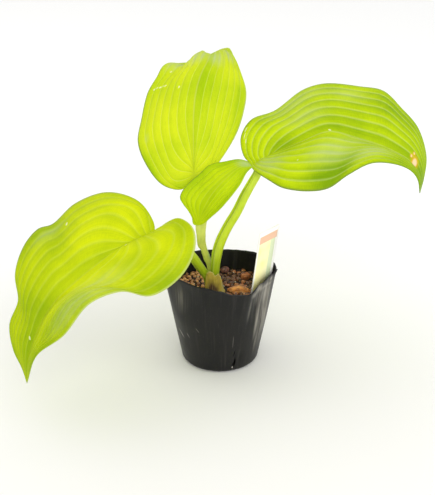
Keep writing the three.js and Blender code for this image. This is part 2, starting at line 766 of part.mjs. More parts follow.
const blades = Object.entries(LEAVES).map(([name, leaf]) => ({ name, leaf, blade: new Blade(leaf) }));
const chips = Object.entries(CHIPS);
const holes = blades.map(({ blade }) => stalkSolid(blade, CLEARANCE));
const cutters = [
  crownHole(),
  scaleSolid(CLEARANCE),
  labelSolid(CLEARANCE),
  ...chips.map(([, chip]) => chipSolid(chip, CLEARANCE)),
];

group.add(named('pot', potSolid(), 0x2b2a28, 0.42));
group.add(named('soil', soilSolid(cutters), 0x3b2a20, 0.95));
group.add(named('crown', crownSolid(holes), 0x6d5a2c, 0.8));
group.add(named('bud_scale', scaleSolid(0), 0x93783a, 0.7));
for (const { name, leaf, blade } of blades) {
  group.add(named(name, leafSolid(blade), leaf.colour, 0.5));
}
group.add(named('plant_label', labelSolid(0), 0xe9e0a8, 0.35));
for (const [name, chip] of chips) {
  group.add(named(name, chipSolid(chip, 0), chip.colour, 0.9));
}

export default group;
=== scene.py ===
import logging
import math
from dataclasses import dataclass, field
from enum import Enum
from functools import partial
from typing import Optional, Sequence, Union

import bpy
import numpy as np
from mathutils import Matrix, Vector

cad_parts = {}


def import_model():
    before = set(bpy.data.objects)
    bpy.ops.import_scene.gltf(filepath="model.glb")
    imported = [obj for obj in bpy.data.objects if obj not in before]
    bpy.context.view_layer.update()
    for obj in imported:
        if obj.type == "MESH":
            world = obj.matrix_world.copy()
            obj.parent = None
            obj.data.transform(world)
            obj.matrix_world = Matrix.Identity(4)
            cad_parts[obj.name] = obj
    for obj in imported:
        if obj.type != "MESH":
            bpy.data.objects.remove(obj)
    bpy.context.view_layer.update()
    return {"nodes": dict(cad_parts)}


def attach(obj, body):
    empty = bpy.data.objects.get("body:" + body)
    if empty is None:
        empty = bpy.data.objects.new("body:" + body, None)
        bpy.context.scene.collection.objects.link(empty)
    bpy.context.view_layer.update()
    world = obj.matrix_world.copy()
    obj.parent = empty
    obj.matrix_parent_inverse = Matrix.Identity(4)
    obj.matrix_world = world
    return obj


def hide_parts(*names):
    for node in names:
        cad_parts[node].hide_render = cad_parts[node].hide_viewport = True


# Looks of a young hosta in a thin black nursery pot. Lengths are millimetres unless a class says metres,
# +Z is up, the plant is seen from the -Y side and the origin is the middle of the pot's flat base.

LOG = logging.getLogger("potted_hosta")
MM = 0.001
PLACE_MAP = "place"
BODY = "root"

Array = np.ndarray
Material = bpy.types.Material
Node = bpy.types.Node
NodeTree = bpy.types.NodeTree
Piece = bpy.types.Object
Socket = bpy.types.NodeSocket
Colour = tuple[float, float, float, float]
Pair = tuple[float, float]
Triple = tuple[float, float, float]
Table = Sequence[Pair]
Value = Union[float, Socket]


class Half(Enum):
    """Half of a leaf blade, seen from the notch towards the tip."""

    LEFT = "left"
    RIGHT = "right"


class Slot(Enum):
    """Material slots of the part's record."""

    FILM = "pot_film"
    MIX = "potting_mix"
    SCALE = "dry_scale"
    LEAF = "leaf_tissue"
    YOUNG = "young_leaf_tissue"
    CARD = "label_card"
    BARK = "bark"


def tint(red: float, green: float, blue: float) -> Colour:
    """Turn a display colour into the linear colour that a shader takes.

    Args:
        red: Red, 0 to 255.
        green: Green, 0 to 255.
        blue: Blue, 0 to 255.

    Returns:
        The linear colour with full alpha.
    """

    def linear(value: float) -> float:
        """Undo the display curve for one channel."""
        share = value / 255
        return share / 12.92 if share <= 0.04045 else ((share + 0.055) / 1.055) ** 2.4

    return linear(red), linear(green), linear(blue), 1.0


def smooth(share: Array) -> Array:
    """Ease a share from 0 to 1, held at both ends."""
    held = np.clip(share, 0, 1)
    return held * held * (3 - 2 * held)


def mix(low: Array, high: Array, share: Array) -> Array:
    """Go from one value to another by a share."""
    return low + (high - low) * share


def station(table: Table, place: Array) -> Array:
    """Read a table of places and values, eased between neighbours.

    Args:
        table: Pairs of place and value, in order.
        place: Where to read it.

    Returns:
        The value at each place.
    """
    places, values = np.array(table, float).T
    place = np.asarray(place, float)
    after = np.clip(np.searchsorted(places, place), 1, len(places) - 1)
    share = (place - places[after - 1]) / (places[after] - places[after - 1])
    return mix(values[after - 1], values[after], smooth(share))


def circle(count: int) -> Array:
    """Give evenly spaced angles of a full turn, in degrees."""
    return np.linspace(0, 360, count, endpoint=False)


def unit(vectors: Array) -> Array:
    """Scale vectors to a length of 1."""
    return vectors / np.maximum(np.linalg.norm(vectors, axis=-1, keepdims=True), 1e-12)


class Curve:
    """Evenly measured smooth curve through a list of points."""

    def __init__(self, points: Sequence[Triple]) -> None:
        """Lay the curve and measure it.

        Args:
            points: Points that the curve passes through.
        """
        self.points = self._through(np.array(points, float), len(points) * 24)
        steps = np.linalg.norm(np.diff(self.points, axis=0), axis=1)
        self.reach = np.concatenate([[0.0], np.cumsum(steps)])
        self.length = float(self.reach[-1])

    @staticmethod
    def _through(points: Array, count: int) -> Array:
        """Fill in a centripetal spline.

        Args:
            points: Points that the curve passes through.
            count: Number of steps along the whole curve.

        Returns:
            The points along the curve.
        """
        first = 2 * points[0] - points[1]
        last = 2 * points[-1] - points[-2]
        padded = np.vstack([first, points, last])
        whole = np.linspace(0, len(points) - 1, count + 1)
        piece = np.minimum(whole.astype(int), len(points) - 2)
        share = (whole - piece)[:, None]
        a, b, c, d = (padded[piece + k] for k in range(4))
        knots = [np.sqrt(np.linalg.norm(q - p, axis=1))[:, None] for p, q in ((a, b), (b, c), (c, d))]
        leave = knots[1] * ((b - a) / knots[0] - (c - a) / (knots[0] + knots[1]) + (c - b) / knots[1])
        arrive = knots[1] * ((c - b) / knots[1] - (d - b) / (knots[1] + knots[2]) + (d - c) / knots[2])
        square = -3 * b + 3 * c - 2 * leave - arrive
        cube = 2 * b - 2 * c + leave + arrive
        return b + share * (leave + share * (square + share * cube))

    def at(self, share: Array) -> Array:
        """Give the points at shares of the length."""
        target = np.clip(share, 0, 1) * self.length
        return np.stack([np.interp(target, self.reach, self.points[:, k]) for k in range(3)], -1)

    def direction(self, share: Array) -> Array:
        """Tell which way the curve runs.

        Args:
            share: Shares of the length.

        Returns:
            The unit direction at each share.
        """
        step = 0.004
        low = np.clip(np.asarray(share, float) - step, 0, 1 - 2 * step)
        return unit(self.at(low + 2 * step) - self.at(low))


def stand(name: str, data: bpy.types.ID) -> Piece:
    """Put an object into the scene.

    Args:
        name: Name of the object.
        data: What it is made of.

    Returns:
        The object.
    """
    made = bpy.data.objects.new(name, data)
    bpy.context.scene.collection.objects.link(made)
    return made


@dataclass
class Shell:
    """Closed or open faces in millimetres, with a place on the map for every corner."""

    points: Array
    faces: list[tuple[int, ...]]
    places: list[tuple[Pair, ...]]
    slots: list[int] = field(default_factory=list)

    def thickened(self, thickness: Array) -> "Shell":
        """Give an open sheet a thickness to both sides.

        Args:
            thickness: Thickness at every point.

        Returns:
            The closed shell, with the open edge closed by a rim.
        """
        corners = np.array([face[:3] for face in self.faces])
        sides = np.cross(
            self.points[corners[:, 1]] - self.points[corners[:, 0]],
            self.points[corners[:, 2]] - self.points[corners[:, 0]],
        )
        normals = np.zeros_like(self.points)
        for face, side in zip(self.faces, sides):
            normals[list(face)] += side
        offset = unit(normals) * (np.asarray(thickness, float) / 2).reshape(-1, 1)
        below = len(self.points)
        faces = list(self.faces)
        places = list(self.places)
        slots = list(self.slots)
        rim: dict[tuple[int, int], tuple] = {}
        for number, (face, place) in enumerate(zip(self.faces, self.places)):
            faces.append(tuple(below + corner for corner in reversed(face)))
            places.append(tuple(reversed(place)))
            slots.append(self.slots[number])
            for k, start in enumerate(face):
                end = face[(k + 1) % len(face)]
                if rim.pop((end, start), None) is None:
                    rim[(start, end)] = (place[k], place[(k + 1) % len(face)], self.slots[number])
        for (start, end), (here, there, slot) in rim.items():
            faces.append((end, start, below + start, below + end))
            places.append((there, here, here, there))
            slots.append(slot)
        return Shell(np.vstack([self.points + offset, self.points - offset]), faces, places, slots)

    def joined(self, other: "Shell") -> "Shell":
        """Put another shell into the same piece.

        Args:
            other: The other shell.

        Returns:
            Both shells as one, this one first.
        """
        first = len(self.points)
        moved = [tuple(first + corner for corner in face) for face in other.faces]
        return Shell(
            np.vstack([self.points, other.points]),
            self.faces + moved,
            self.places + other.places,
            self.slots + other.slots,
        )

    def piece(self, name: str, materials: Sequence[Material]) -> Piece:
        """Make the Blender object.

        Args:
            name: Name of the piece.
            materials: Materials of the piece, in the order of its slots.

        Returns:
            The object, at the origin, with its place in its mesh.
        """
        mesh = bpy.data.meshes.new(name)
        mesh.from_pydata((self.points * MM).tolist(), [], self.faces)
        layer = mesh.uv_layers.new(name=PLACE_MAP)
        flat = [value for place in self.places for corner in place for value in corner]
        layer.data.foreach_set("uv", flat)
        for material in materials:
            mesh.materials.append(material)
        mesh.polygons.foreach_set("material_index", self.slots)
        mesh.shade_smooth()
        mesh.update()
        return stand(name, mesh)


def grid_shell(points: Array, around: bool = False, slot: int = 0) -> Shell:
    """Join a grid of points into quads.

    Args:
        points: Points as rows by columns by 3.
        around: Whether the last column joins the first.
        slot: Material slot of the faces.

    Returns:
        The shell, its map running 0 to 1 along the columns and the rows.
    """
    rows, columns = points.shape[:2]
    steps = columns if around else columns - 1
    faces = []
    places = []
    for i in range(rows - 1):
        for j in range(steps):
            k = (j + 1) % columns
            faces.append((i * columns + j, i * columns + k, (i + 1) * columns + k, (i + 1) * columns + j))
            left, right = j / steps, (j + 1) / steps
            low, high = i / (rows - 1), (i + 1) / (rows - 1)
            places.append(((left, low), (right, low), (right, high), (left, high)))
    return Shell(points.reshape(-1, 3), faces, places, [slot] * len(faces))


def closed_grid(points: Array, slot: int = 0) -> Shell:
    """Join rings into a tube and close both ends with a fan.

    Args:
        points: Rings as rows by columns by 3, from the start to the end.
        slot: Material slot of the faces.

    Returns:
        The closed shell.
    """
    shell = grid_shell(points, around=True, slot=slot)
    rows, columns = points.shape[:2]
    ends = np.array([points[0].mean(axis=0), points[-1].mean(axis=0)])
    start = len(shell.points)
    shell.points = np.vstack([shell.points, ends])
    last = (rows - 1) * columns
    for j in range(columns):
        k = (j + 1) % columns
        left, right = j / columns, (j + 1) / columns
        middle = (left + right) / 2
        shell.faces.append((start, k, j))
        shell.places.append(((middle, 0), (right, 0), (left, 0)))
        shell.faces.append((start + 1, last + j, last + k))
        shell.places.append(((middle, 1), (left, 1), (right, 1)))
        shell.slots += [slot, slot]
    return shell


def add_node(tree: NodeTree, kind: str, inputs: dict, **settings: object) -> Node:
    """Add one node to a tree and join it.

    Args:
        tree: Tree of a material or of geometry nodes.
        kind: Blender's name of the node.
        inputs: Value or socket for each input, by name or number.
        **settings: Properties of the node.

    Returns:
        The node.
    """
    node = tree.nodes.new(kind)
    for key, value in settings.items():
        setattr(node, key, value)
    for key, value in inputs.items():
        if isinstance(value, Socket):
            tree.links.new(value, node.inputs[key])
        else:
            node.inputs[key].default_value = value
    return node


def make_real(piece: Piece) -> None:
    """Put what the modifiers of a piece make of it in the place of its mesh.

    Args:
        piece: The piece, without modifiers afterwards.
    """
    piece.update_tag()
    graph = bpy.context.evaluated_depsgraph_get()
    graph.update()
    real = bpy.data.meshes.new_from_object(piece.evaluated_get(graph))
    piece.modifiers.clear()
    old = piece.data
    piece.data = real
    bpy.data.meshes.remove(old)
    real.name = piece.name


class Paint:
    """Material under construction, with short ways to add and join its nodes."""

    def __init__(self, name: str) -> None:
        """Start an empty material.

        Args:
            name: Name of the material.
        """
        self.material = bpy.data.materials.new(name)
        self.material.use_nodes = True
        self.tree = self.material.node_tree
        self.tree.nodes.clear()

    def add(self, kind: str, inputs: Optional[dict] = None, **settings: object) -> Node:
        """Add one node to the material."""
        return add_node(self.tree, kind, inputs or {}, **settings)

    def calc(self, operation: str, first: Value, second: Value = 0.0, clamp: bool = False) -> Socket:
        """Work out one number from two."""
        node = self.add("ShaderNodeMath", {0: first, 1: second}, operation=operation, use_clamp=clamp)
        return node.outputs[0]

    def times(self, first: Value, second: Value) -> Socket:
        """Multiply two numbers."""
        return self.calc("MULTIPLY", first, second)

    def apart(self, first: Value, second: Value) -> Socket:
        """Say how far apart two numbers are."""
        return self.calc("ABSOLUTE", self.calc("SUBTRACT", first, second))

    def ease(self, value: Value, low: float, high: float, start: float = 0.0, end: float = 1.0) -> Socket:
        """Ease a number from one range into another."""
        inputs = {"Value": value, "From Min": low, "From Max": high, "To Min": start, "To Max": end}
        return self.add("ShaderNodeMapRange", inputs, interpolation_type="SMOOTHSTEP").outputs[0]

    def blend(self, share: Value, low: object, high: object) -> Socket:
        """Go from one colour to another by a share."""
        node = self.add("ShaderNodeMix", {0: share, 6: low, 7: high}, data_type="RGBA")
        return node.outputs[2]

    def object_place(self, scale: Triple = (1.0, 1.0, 1.0), turn: Triple = (0.0, 0.0, 0.0)) -> Socket:
        """Give the place on the piece in metres, stretched and turned."""
        place = self.add("ShaderNodeTexCoord").outputs["Object"]
        return self.add("ShaderNodeMapping", {"Vector": place, "Scale": scale, "Rotation": turn}).outputs[0]

    def map_place(self) -> Socket:
        """Give the place on the piece's own map."""
        return self.add("ShaderNodeUVMap", uv_map=PLACE_MAP).outputs[0]

    def axes(self, place: Socket) -> tuple[Socket, ...]:
        """Split a place into its axes."""
        return tuple(self.add("ShaderNodeSeparateXYZ", {0: place}).outputs)

    def stretched(self, place: Socket, scale: Triple) -> Socket:
        """Stretch a place along its axes."""
        return self.add("ShaderNodeMapping", {"Vector": place, "Scale": scale}).outputs[0]

    def noise(self, place: Socket, scale: float, detail: float = 4.0, rough: float = 0.55) -> Socket:
        """Cloudy noise of about 0.3 to 0.7 at a place."""
        inputs = {"Vector": place, "Scale": scale, "Detail": detail, "Roughness": rough}
        return self.add("ShaderNodeTexNoise", inputs).outputs[0]

    def cloud(self, scale: float, detail: float = 4.0, rough: float = 0.55) -> Socket:
        """Noise over the piece as it stands."""
        return self.noise(self.object_place(), scale, detail, rough)

    def drawn(self, place: Socket, x: float, y: float, detail: float, rough: float = 0.55) -> Socket:
        """Noise drawn out along one axis of a map, with its scale along each."""
        return self.noise(self.stretched(place, (x, y, 1.0)), 1.0, detail, rough)

    def spot(self, place: Socket, mark: "Mark", core: float = 0.55) -> Socket:
        """Lay a soft-edged mark on the map.

        Args:
            place: Place on the piece's map.
            mark: The mark.
            core: Share of its size inside which it is at its strongest.

        Returns:
            The strength of the mark in its core, easing to 0 at its edge.
        """
        inputs = {"Vector": place, "Location": (-mark.across, -mark.along, 0.0)}
        moved = self.add("ShaderNodeMapping", inputs).outputs[0]
        inputs = {"Vector": moved, "Rotation": (0.0, 0.0, mark.turn)}
        turned = self.add("ShaderNodeMapping", inputs).outputs[0]
        sized = self.stretched(turned, (1 / mark.half_width, 1 / mark.half_length, 1.0))
        far = self.add("ShaderNodeVectorMath", {0: sized}, operation="LENGTH").outputs["Value"]
        return self.ease(far, core, 1.0, mark.strength, 0.0)

    def bump(
        self, height: Socket, depth: float, strength: float = 1.0, under: Optional[Socket] = None
    ) -> Socket:
        """Raise the surface.

        Args:
            height: Height, 0 to 1.
            depth: Millimetres that a height of 1 stands for.
            strength: Share of the effect.
            under: Relief that this one lies on, if any.

        Returns:
            The direction of the raised surface.
        """
        inputs = {"Height": height, "Distance": depth * MM, "Strength": strength}
        if under is not None:
            inputs["Normal"] = under
        return self.add("ShaderNodeBump", inputs).outputs[0]

    def surface(self, **inputs: object) -> Socket:
        """Plastic, paper or tissue shader with its sockets set by name, underscores for spaces."""
        named = {key.replace("_", " "): value for key, value in inputs.items()}
        return self.add("ShaderNodeBsdfPrincipled", named).outputs[0]

    def done(self, shader: Socket) -> Material:
        """Join the shader to the material's surface."""
        self.add("ShaderNodeOutputMaterial", {"Surface": shader})
        return self.material

    def lit_through(self, share: float, face: Socket, glow: object, normal: Socket) -> Material:
        """Join a surface through which a share of the light comes."""
        through = self.add("ShaderNodeBsdfTranslucent", {"Color": glow, "Normal": normal}).outputs[0]
        return self.done(self.add("ShaderNodeMixShader", {0: share, 1: face, 2: through}).outputs[0])


@dataclass(frozen=True)
class Mark:
    """Small mark on a piece's map: its middle, half sizes, strength and turn."""

    across: float
    along: float
    half_width: float
    half_length: float
    strength: float = 1.0
    turn: float = 0.0


def marks(*rows: Sequence[float]) -> tuple[Mark, ...]:
    """Turn rows of a table into marks."""
    return tuple(Mark(*row) for row in rows)


@dataclass(frozen=True)
class BladeFinish:
    """Thin, light-filled leaf tissue; each lane between two bright veins has painted shade on its outer
    side, for its pleat.

    The pairs of fold shade and edges are for the left and the right half of the blade, the fold shade being
    painted shade beside the midrib; the pairs of nicked, scorched and burnt are for the face and for the
    light that comes through.
    """

    MIDDLE = (-0.02, 0.02)
    HAZE = 2.1

    name: str
    bright: Colour
    deep: Colour
    glow: Colour
    glow_deep: Colour
    fold_shade: Pair
    edges: tuple[Colour, Colour]
    vein: Colour
    line_strength: float
    line_width: float
    # Strength of the painted pleat shade in each lane.
    lane: float = 0.2
    rim_depth: float = 0.36
    tip_depth: float = 0.4
    light_through: float = 0.42
    # Colour and marks of a painted sheen: pale grazing reflections.
    painted_sheen: Colour = tint(206, 218, 170)
    nicked: tuple[Colour, Colour] = (tint(248, 248, 214), tint(252, 252, 225))
    scorched: tuple[Colour, Colour] = (tint(246, 188, 40), tint(250, 205, 60))
    burnt: tuple[Colour, Colour] = (tint(250, 226, 190), tint(250, 230, 170))
    # Soft patches of painted shade, and of painted light where the strength is below 0.
    painted_shades: tuple[Mark, ...] = ()
    nicks: tuple[Mark, ...] = ()
    burns: tuple[Mark, ...] = ()
    painted_sheens: tuple[Mark, ...] = ()

    @staticmethod
    def from_midrib(paint: Paint, place: Socket) -> tuple[Socket, Socket, Socket]:
        """Measure a place on the map from the midrib.

        Args:
            paint: Material under construction.
            place: Place on the leaf's map.

        Returns:
            The place across, above 0 on the left half; how far across that is; and the place along.
        """
        x, along, _ = paint.axes(place)
        signed = paint.times(paint.calc("SUBTRACT", x, 0.5), 2.0)
        return signed, paint.calc("ABSOLUTE", signed), along

    def depth(self, paint: Paint, place: Socket, veins: float, fine: Socket) -> Socket:
        """Say how deep the green is at every place, painted shade included.

        Args:
            paint: Material under construction.
            place: Place on the leaf's map.
            veins: Number of veins in a half.
            fine: Small grain of the tissue.

        Returns:
            0 where the tissue is brightest and 1 where it is deepest.
        """
        signed, across, along = self.from_midrib(paint, place)
        lane = paint.calc("FRACT", paint.times(across, veins))
        broad = paint.cloud(26.0, 3.0)
        left_fold, right_fold = self.fold_shade
        near_fold = paint.ease(across, 0.0, 0.42, 1.0, 0.0)
        past_notch = paint.ease(along, 0.1, 0.5, 0.4)
        # Painted shade beside the midrib on each half, where the blade folds.
        total = paint.times(paint.ease(signed, *self.MIDDLE, right_fold, left_fold), near_fold)
        parts = (
            # Painted shade on the outer side of each lane, for the pleats.
            paint.ease(lane, 0.12, 0.96, 0.0, self.lane),
            paint.times(paint.ease(across, 0.55, 1.0, 0.0, self.rim_depth), past_notch),
            paint.ease(along, 0.55, 1.0, 0.0, self.tip_depth),
            paint.ease(broad, 0.34, 0.68, 0.0, 0.3),
            paint.ease(fine, 0.36, 0.66, -0.06, 0.18),
            *(paint.spot(place, shade, 0.0) for shade in self.painted_shades),
        )
        for part in parts:
            total = paint.calc("ADD", total, part)
        return paint.calc("MINIMUM", total, 1.0, clamp=True)

    def material(self, veins: int) -> Material:
        """Build the material, its pattern following the leaf's own map.

        Args:
            veins: Number of veins in a half.

        Returns:
            The leaf material.
        """
        paint = Paint(self.name)
        place = paint.map_place()
        signed, across, along = self.from_midrib(paint, place)
        beside = paint.calc("PINGPONG", paint.times(across, float(veins)), 0.5)
        line = paint.ease(beside, 0.015, self.line_width, 1.0, 0.0)
        midrib = paint.ease(across, 0.006, 0.02, 1.0, 0.0)
        vein = paint.times(paint.calc("MAXIMUM", line, midrib), paint.ease(along, 0.75, 1.0, 1.0, 0.35))
        cells = paint.cloud(420.0, 3.0, 0.6)
        cross = paint.drawn(place, 26.0, 320.0, 2.0)
        fibre = paint.drawn(place, 150.0, 5.0, 3.0)
        fine = paint.calc("ADD", paint.times(cross, 0.5), paint.times(fibre, 0.5))
        depth = self.depth(paint, place, float(veins), fine)
        coats = [paint.blend(depth, self.bright, self.deep), paint.blend(depth, self.glow, self.glow_deep)]

        def coat(share: Value, colours: Sequence[object]) -> None:
            """Lay one colour over the face and one over the light that comes through."""
            coats[:] = [paint.blend(share, under, over) for under, over in zip(coats, colours)]

        coat(paint.times(vein, self.line_strength), [self.vein] * 2)
        left_edge, right_edge = self.edges
        edge = paint.blend(paint.ease(signed, *self.MIDDLE), right_edge, left_edge)
        coat(paint.ease(across, 0.965, 0.995, 0.0, 0.8), [edge] * 2)
        # Painted sheen: pale grazing reflections, broken up and banded along the lanes.
        sheen_breakup = paint.ease(fibre, 0.3, 0.62, 0.4, 0.9)
        sheen_bands = paint.times(sheen_breakup, paint.ease(beside, 0.06, 0.4, 1.0, 0.5))
        for painted_sheen in self.painted_sheens:
            coat(paint.times(paint.spot(place, painted_sheen, 0.0), sheen_bands), [self.painted_sheen] * 2)
        for nick in self.nicks:
            coat(paint.times(paint.spot(place, nick), 0.85), self.nicked)
        for burn in self.burns:
            wide, long = burn.half_width * self.HAZE, burn.half_length * self.HAZE
            around = Mark(burn.across, burn.along, wide, long, 0.8, burn.turn)
            coat(paint.spot(place, around, 0.2), self.scorched)
            coat(paint.spot(place, burn), self.burnt)

        ridge = paint.bump(paint.calc("SUBTRACT", 1.0, line), 0.1, 0.4)
        grain = paint.bump(fine, 0.1, 0.45, ridge)
        skin = paint.bump(cells, 0.03, 0.4, grain)
        gloss = paint.ease(cells, 0.3, 0.7, 0.36, 0.5)
        colour, glow = coats
        face = paint.surface(Base_Color=colour, Roughness=gloss, Normal=skin, Specular_IOR_Level=0.14)
        return paint.lit_through(self.light_through, face, glow, skin)


@dataclass(frozen=True)
class StalkFinish:
    """Smooth juicy stalk with fine lengthwise lines, paler where it is young.

    GROOVE is the groove's place around the stalk, which painted shade darkens, and WING how far off it its
    pale edges run.
    """

    GROOVE = 0.75
    WING = 0.085

    name: str
    middle: Colour
    head: Colour
    foot: Colour = tint(138, 168, 10)
    line: Colour = tint(208, 224, 92)

    def material(self) -> Material:
        """Build the material.

        Returns:
            The stalk material, its lines following the stalk's own map.
        """
        paint = Paint(self.name)
        place = paint.map_place()
        around, along, _ = paint.axes(place)
        lines = paint.drawn(place, 46.0, 3.0, 3.0)
        cloud = paint.cloud(90.0, 3.0)
        lower = paint.blend(paint.ease(along, 0.02, 0.22), self.foot, self.middle)
        ground = paint.blend(paint.ease(along, 0.3, 0.75), lower, self.head)
        lined = paint.blend(paint.ease(lines, 0.5, 0.68, 0.0, 0.55), ground, self.line)
        shaded = paint.blend(paint.ease(cloud, 0.4, 0.7, 0.0, 0.25), lined, self.foot)
        off = paint.apart(around, self.GROOVE)
        wing = paint.ease(paint.apart(off, self.WING), 0.01, 0.035, 0.6, 0.0)
        winged = paint.blend(wing, shaded, self.line)
        # Painted shade in the groove.
        colour = paint.blend(paint.ease(off, 0.01, 0.045, 0.6, 0.0), winged, self.foot)
        ridges = paint.bump(lines, 0.15, 0.5)
        gloss = paint.ease(cloud, 0.3, 0.7, 0.3, 0.42)
        face = paint.surface(
            Base_Color=colour, Roughness=gloss, Normal=ridges, Specular_IOR_Level=0.5, Sheen_Weight=0.08
        )
        return paint.lit_through(0.18, face, colour, ridges)


@dataclass(frozen=True)
class FilmFinish:
    """Soft black plastic film: faint upright draw lines, dust and a few pale scratches, with pale streaks of
    painted reflection and painted shadow in its folds.
    """

    name: str
    scratches: tuple[Mark, ...] = ()
    painted_reflections: tuple[Mark, ...] = ()
    fold_shadows: tuple[Mark, ...] = ()

    def material(self) -> Material:
        """Build the material.

        Returns:
            The film material; its map runs around the pot and up its wall.
        """
        paint = Paint(self.name)
        place = paint.map_place()
        draw = paint.drawn(place, 120.0, 1.6, 4.0, 0.6)
        cloud = paint.cloud(38.0, 4.0)
        dust = paint.cloud(900.0, 3.0, 0.7)
        ground = paint.blend(paint.ease(cloud, 0.35, 0.68), tint(13, 13, 12), tint(22, 21, 19))
        lined = paint.blend(paint.ease(draw, 0.52, 0.72, 0.0, 0.5), ground, tint(50, 47, 44))
        colour = paint.blend(paint.ease(dust, 0.62, 0.74, 0.0, 0.3), lined, tint(104, 98, 90))
        ragged = paint.ease(draw, 0.36, 0.6, 0.25, 1.0)
        # Painted reflection: pale ragged streaks of light on the film.
        for painted_reflection in self.painted_reflections:
            there = paint.times(paint.spot(place, painted_reflection, 0.0), ragged)
            colour = paint.blend(there, colour, tint(150, 145, 134))
        open_film: Value = 1.0
        # Painted shadow darkens the folds and takes away their sheen.
        for fold_shade in self.fold_shadows:
            sunk = paint.spot(place, fold_shade, 0.3)
            colour = paint.blend(sunk, colour, tint(3, 3, 3))
            open_film = paint.times(open_film, paint.calc("SUBTRACT", 1.0, sunk))
        sheen = paint.times(open_film, 0.28)
        for scratch in self.scratches:
            colour = paint.blend(paint.times(paint.spot(place, scratch), 0.7), colour, tint(196, 188, 180))
        lines = paint.bump(draw, 0.18, 0.35)
        skin = paint.bump(cloud, 0.5, 0.3, lines)
        gloss = paint.ease(paint.calc("ADD", cloud, paint.times(dust, 0.3)), 0.35, 0.9, 0.34, 0.52)
        face = paint.surface(Base_Color=colour, Roughness=gloss, Normal=skin, Specular_IOR_Level=sheen)
        return paint.done(face)


@dataclass(frozen=True)
class GroundFinish:
    """Crumbly mineral or woody stuff in a few tones."""

    name: str
    dark: Colour
    light: Colour
    speck: Colour
    scale: float
    rough: float = 0.85
    depth: float = 0.5
    toned: bool = False
    dark_share: float = 0.0

    def material(self) -> Material:
        """Build the material.

        Returns:
            The ground material, toned by the piece's own attribute where it has one.
        """
        paint = Paint(self.name)
        place = paint.object_place()
        cloud = paint.noise(place, self.scale, 5.0, 0.65)
        grit = paint.noise(place, self.scale * 6, 3.0, 0.7)
        tone = paint.ease(cloud, 0.35, 0.65)
        if self.toned:
            grain = paint.add("ShaderNodeAttribute", attribute_name=Scatter.TONE).outputs["Fac"]
            own = paint.ease(grain, self.dark_share, 1.0)
            tone = paint.calc("ADD", paint.times(tone, 0.35), paint.times(own, 0.65))
        ground = paint.blend(tone, self.dark, self.light)
        colour = paint.blend(paint.ease(grit, 0.56, 0.72, 0.0, 0.6), ground, self.speck)
        lumps = paint.bump(cloud, self.depth * 1.6, 0.6)
        pits = paint.bump(grit, self.depth * 0.5, 0.7, lumps)
        gloss = paint.ease(grit, 0.3, 0.7, self.rough - 0.18, self.rough)
        face = paint.surface(Base_Color=colour, Roughness=gloss, Normal=pits, Specular_IOR_Level=0.4)
        return paint.done(face)


@dataclass(frozen=True)
class BarkFinish:
    """Damp bark chip with fibres along its length."""

    name: str
    dark: Colour
    light: Colour
    bright: Colour
    turn: float = 0.0

    def material(self) -> Material:
        """Build the material.

        Returns:
            The bark material, its fibres following the chip's turn.
        """
        paint = Paint(self.name)
        along = paint.object_place((60.0, 420.0, 300.0), (0.0, 0.0, -math.radians(self.turn)))
        fibre = paint.noise(along, 1.0, 4.0, 0.6)
        cloud = paint.cloud(210.0, 4.0, 0.6)
        ground = paint.blend(paint.ease(cloud, 0.38, 0.62), self.dark, self.light)
        lined = paint.blend(paint.ease(fibre, 0.5, 0.68, 0.0, 0.75), ground, self.bright)
        cracks = paint.blend(paint.ease(fibre, 0.3, 0.4, 0.7, 0.0), lined, self.dark)
        relief = paint.bump(fibre, 0.5, 0.7)
        gloss = paint.ease(cloud, 0.35, 0.65, 0.35, 0.6)
        face = paint.surface(Base_Color=cracks, Roughness=gloss, Normal=relief, Specular_IOR_Level=0.5)
        return paint.done(face)


@dataclass(frozen=True)
class HuskFinish:
    """Dry papery bud scale: fine upright fibres, browner at the foot and on one side."""

    name: str
    brown: Colour = tint(92, 60, 44)
    tan: Colour = tint(214, 190, 70)
    pale: Colour = tint(236, 222, 140)

    def material(self) -> Material:
        """Build the material.

        Returns:
            The papery material; its map runs around the scale and up it.
        """
        paint = Paint(self.name)
        place = paint.map_place()
        around, up, _ = paint.axes(place)
        fibre = paint.drawn(place, 70.0, 3.0, 4.0, 0.6)
        blotch = paint.cloud(160.0, 4.0)
        ground = paint.blend(paint.ease(blotch, 0.35, 0.65, 0.0, 0.35), self.tan, self.brown)
        shade = paint.spot(place, Mark(0.36, 0.34, 0.36, 0.5), 0.0)
        foot = paint.blend(paint.calc("MULTIPLY", shade, 1.7, clamp=True), ground, self.brown)
        lined = paint.blend(paint.ease(fibre, 0.5, 0.66, 0.0, 0.45), foot, self.pale)
        sided = paint.blend(paint.ease(around, 0.66, 0.78, 0.0, 0.6), lined, self.pale)
        rim = paint.blend(paint.ease(up, 0.955, 1.0, 0.0, 0.7), sided, self.pale)
        relief = paint.bump(fibre, 0.25, 0.6)
        face = paint.surface(Base_Color=rim, Roughness=0.62, Normal=relief, Specular_IOR_Level=0.35)
        return paint.lit_through(0.15, face, self.tan, relief)


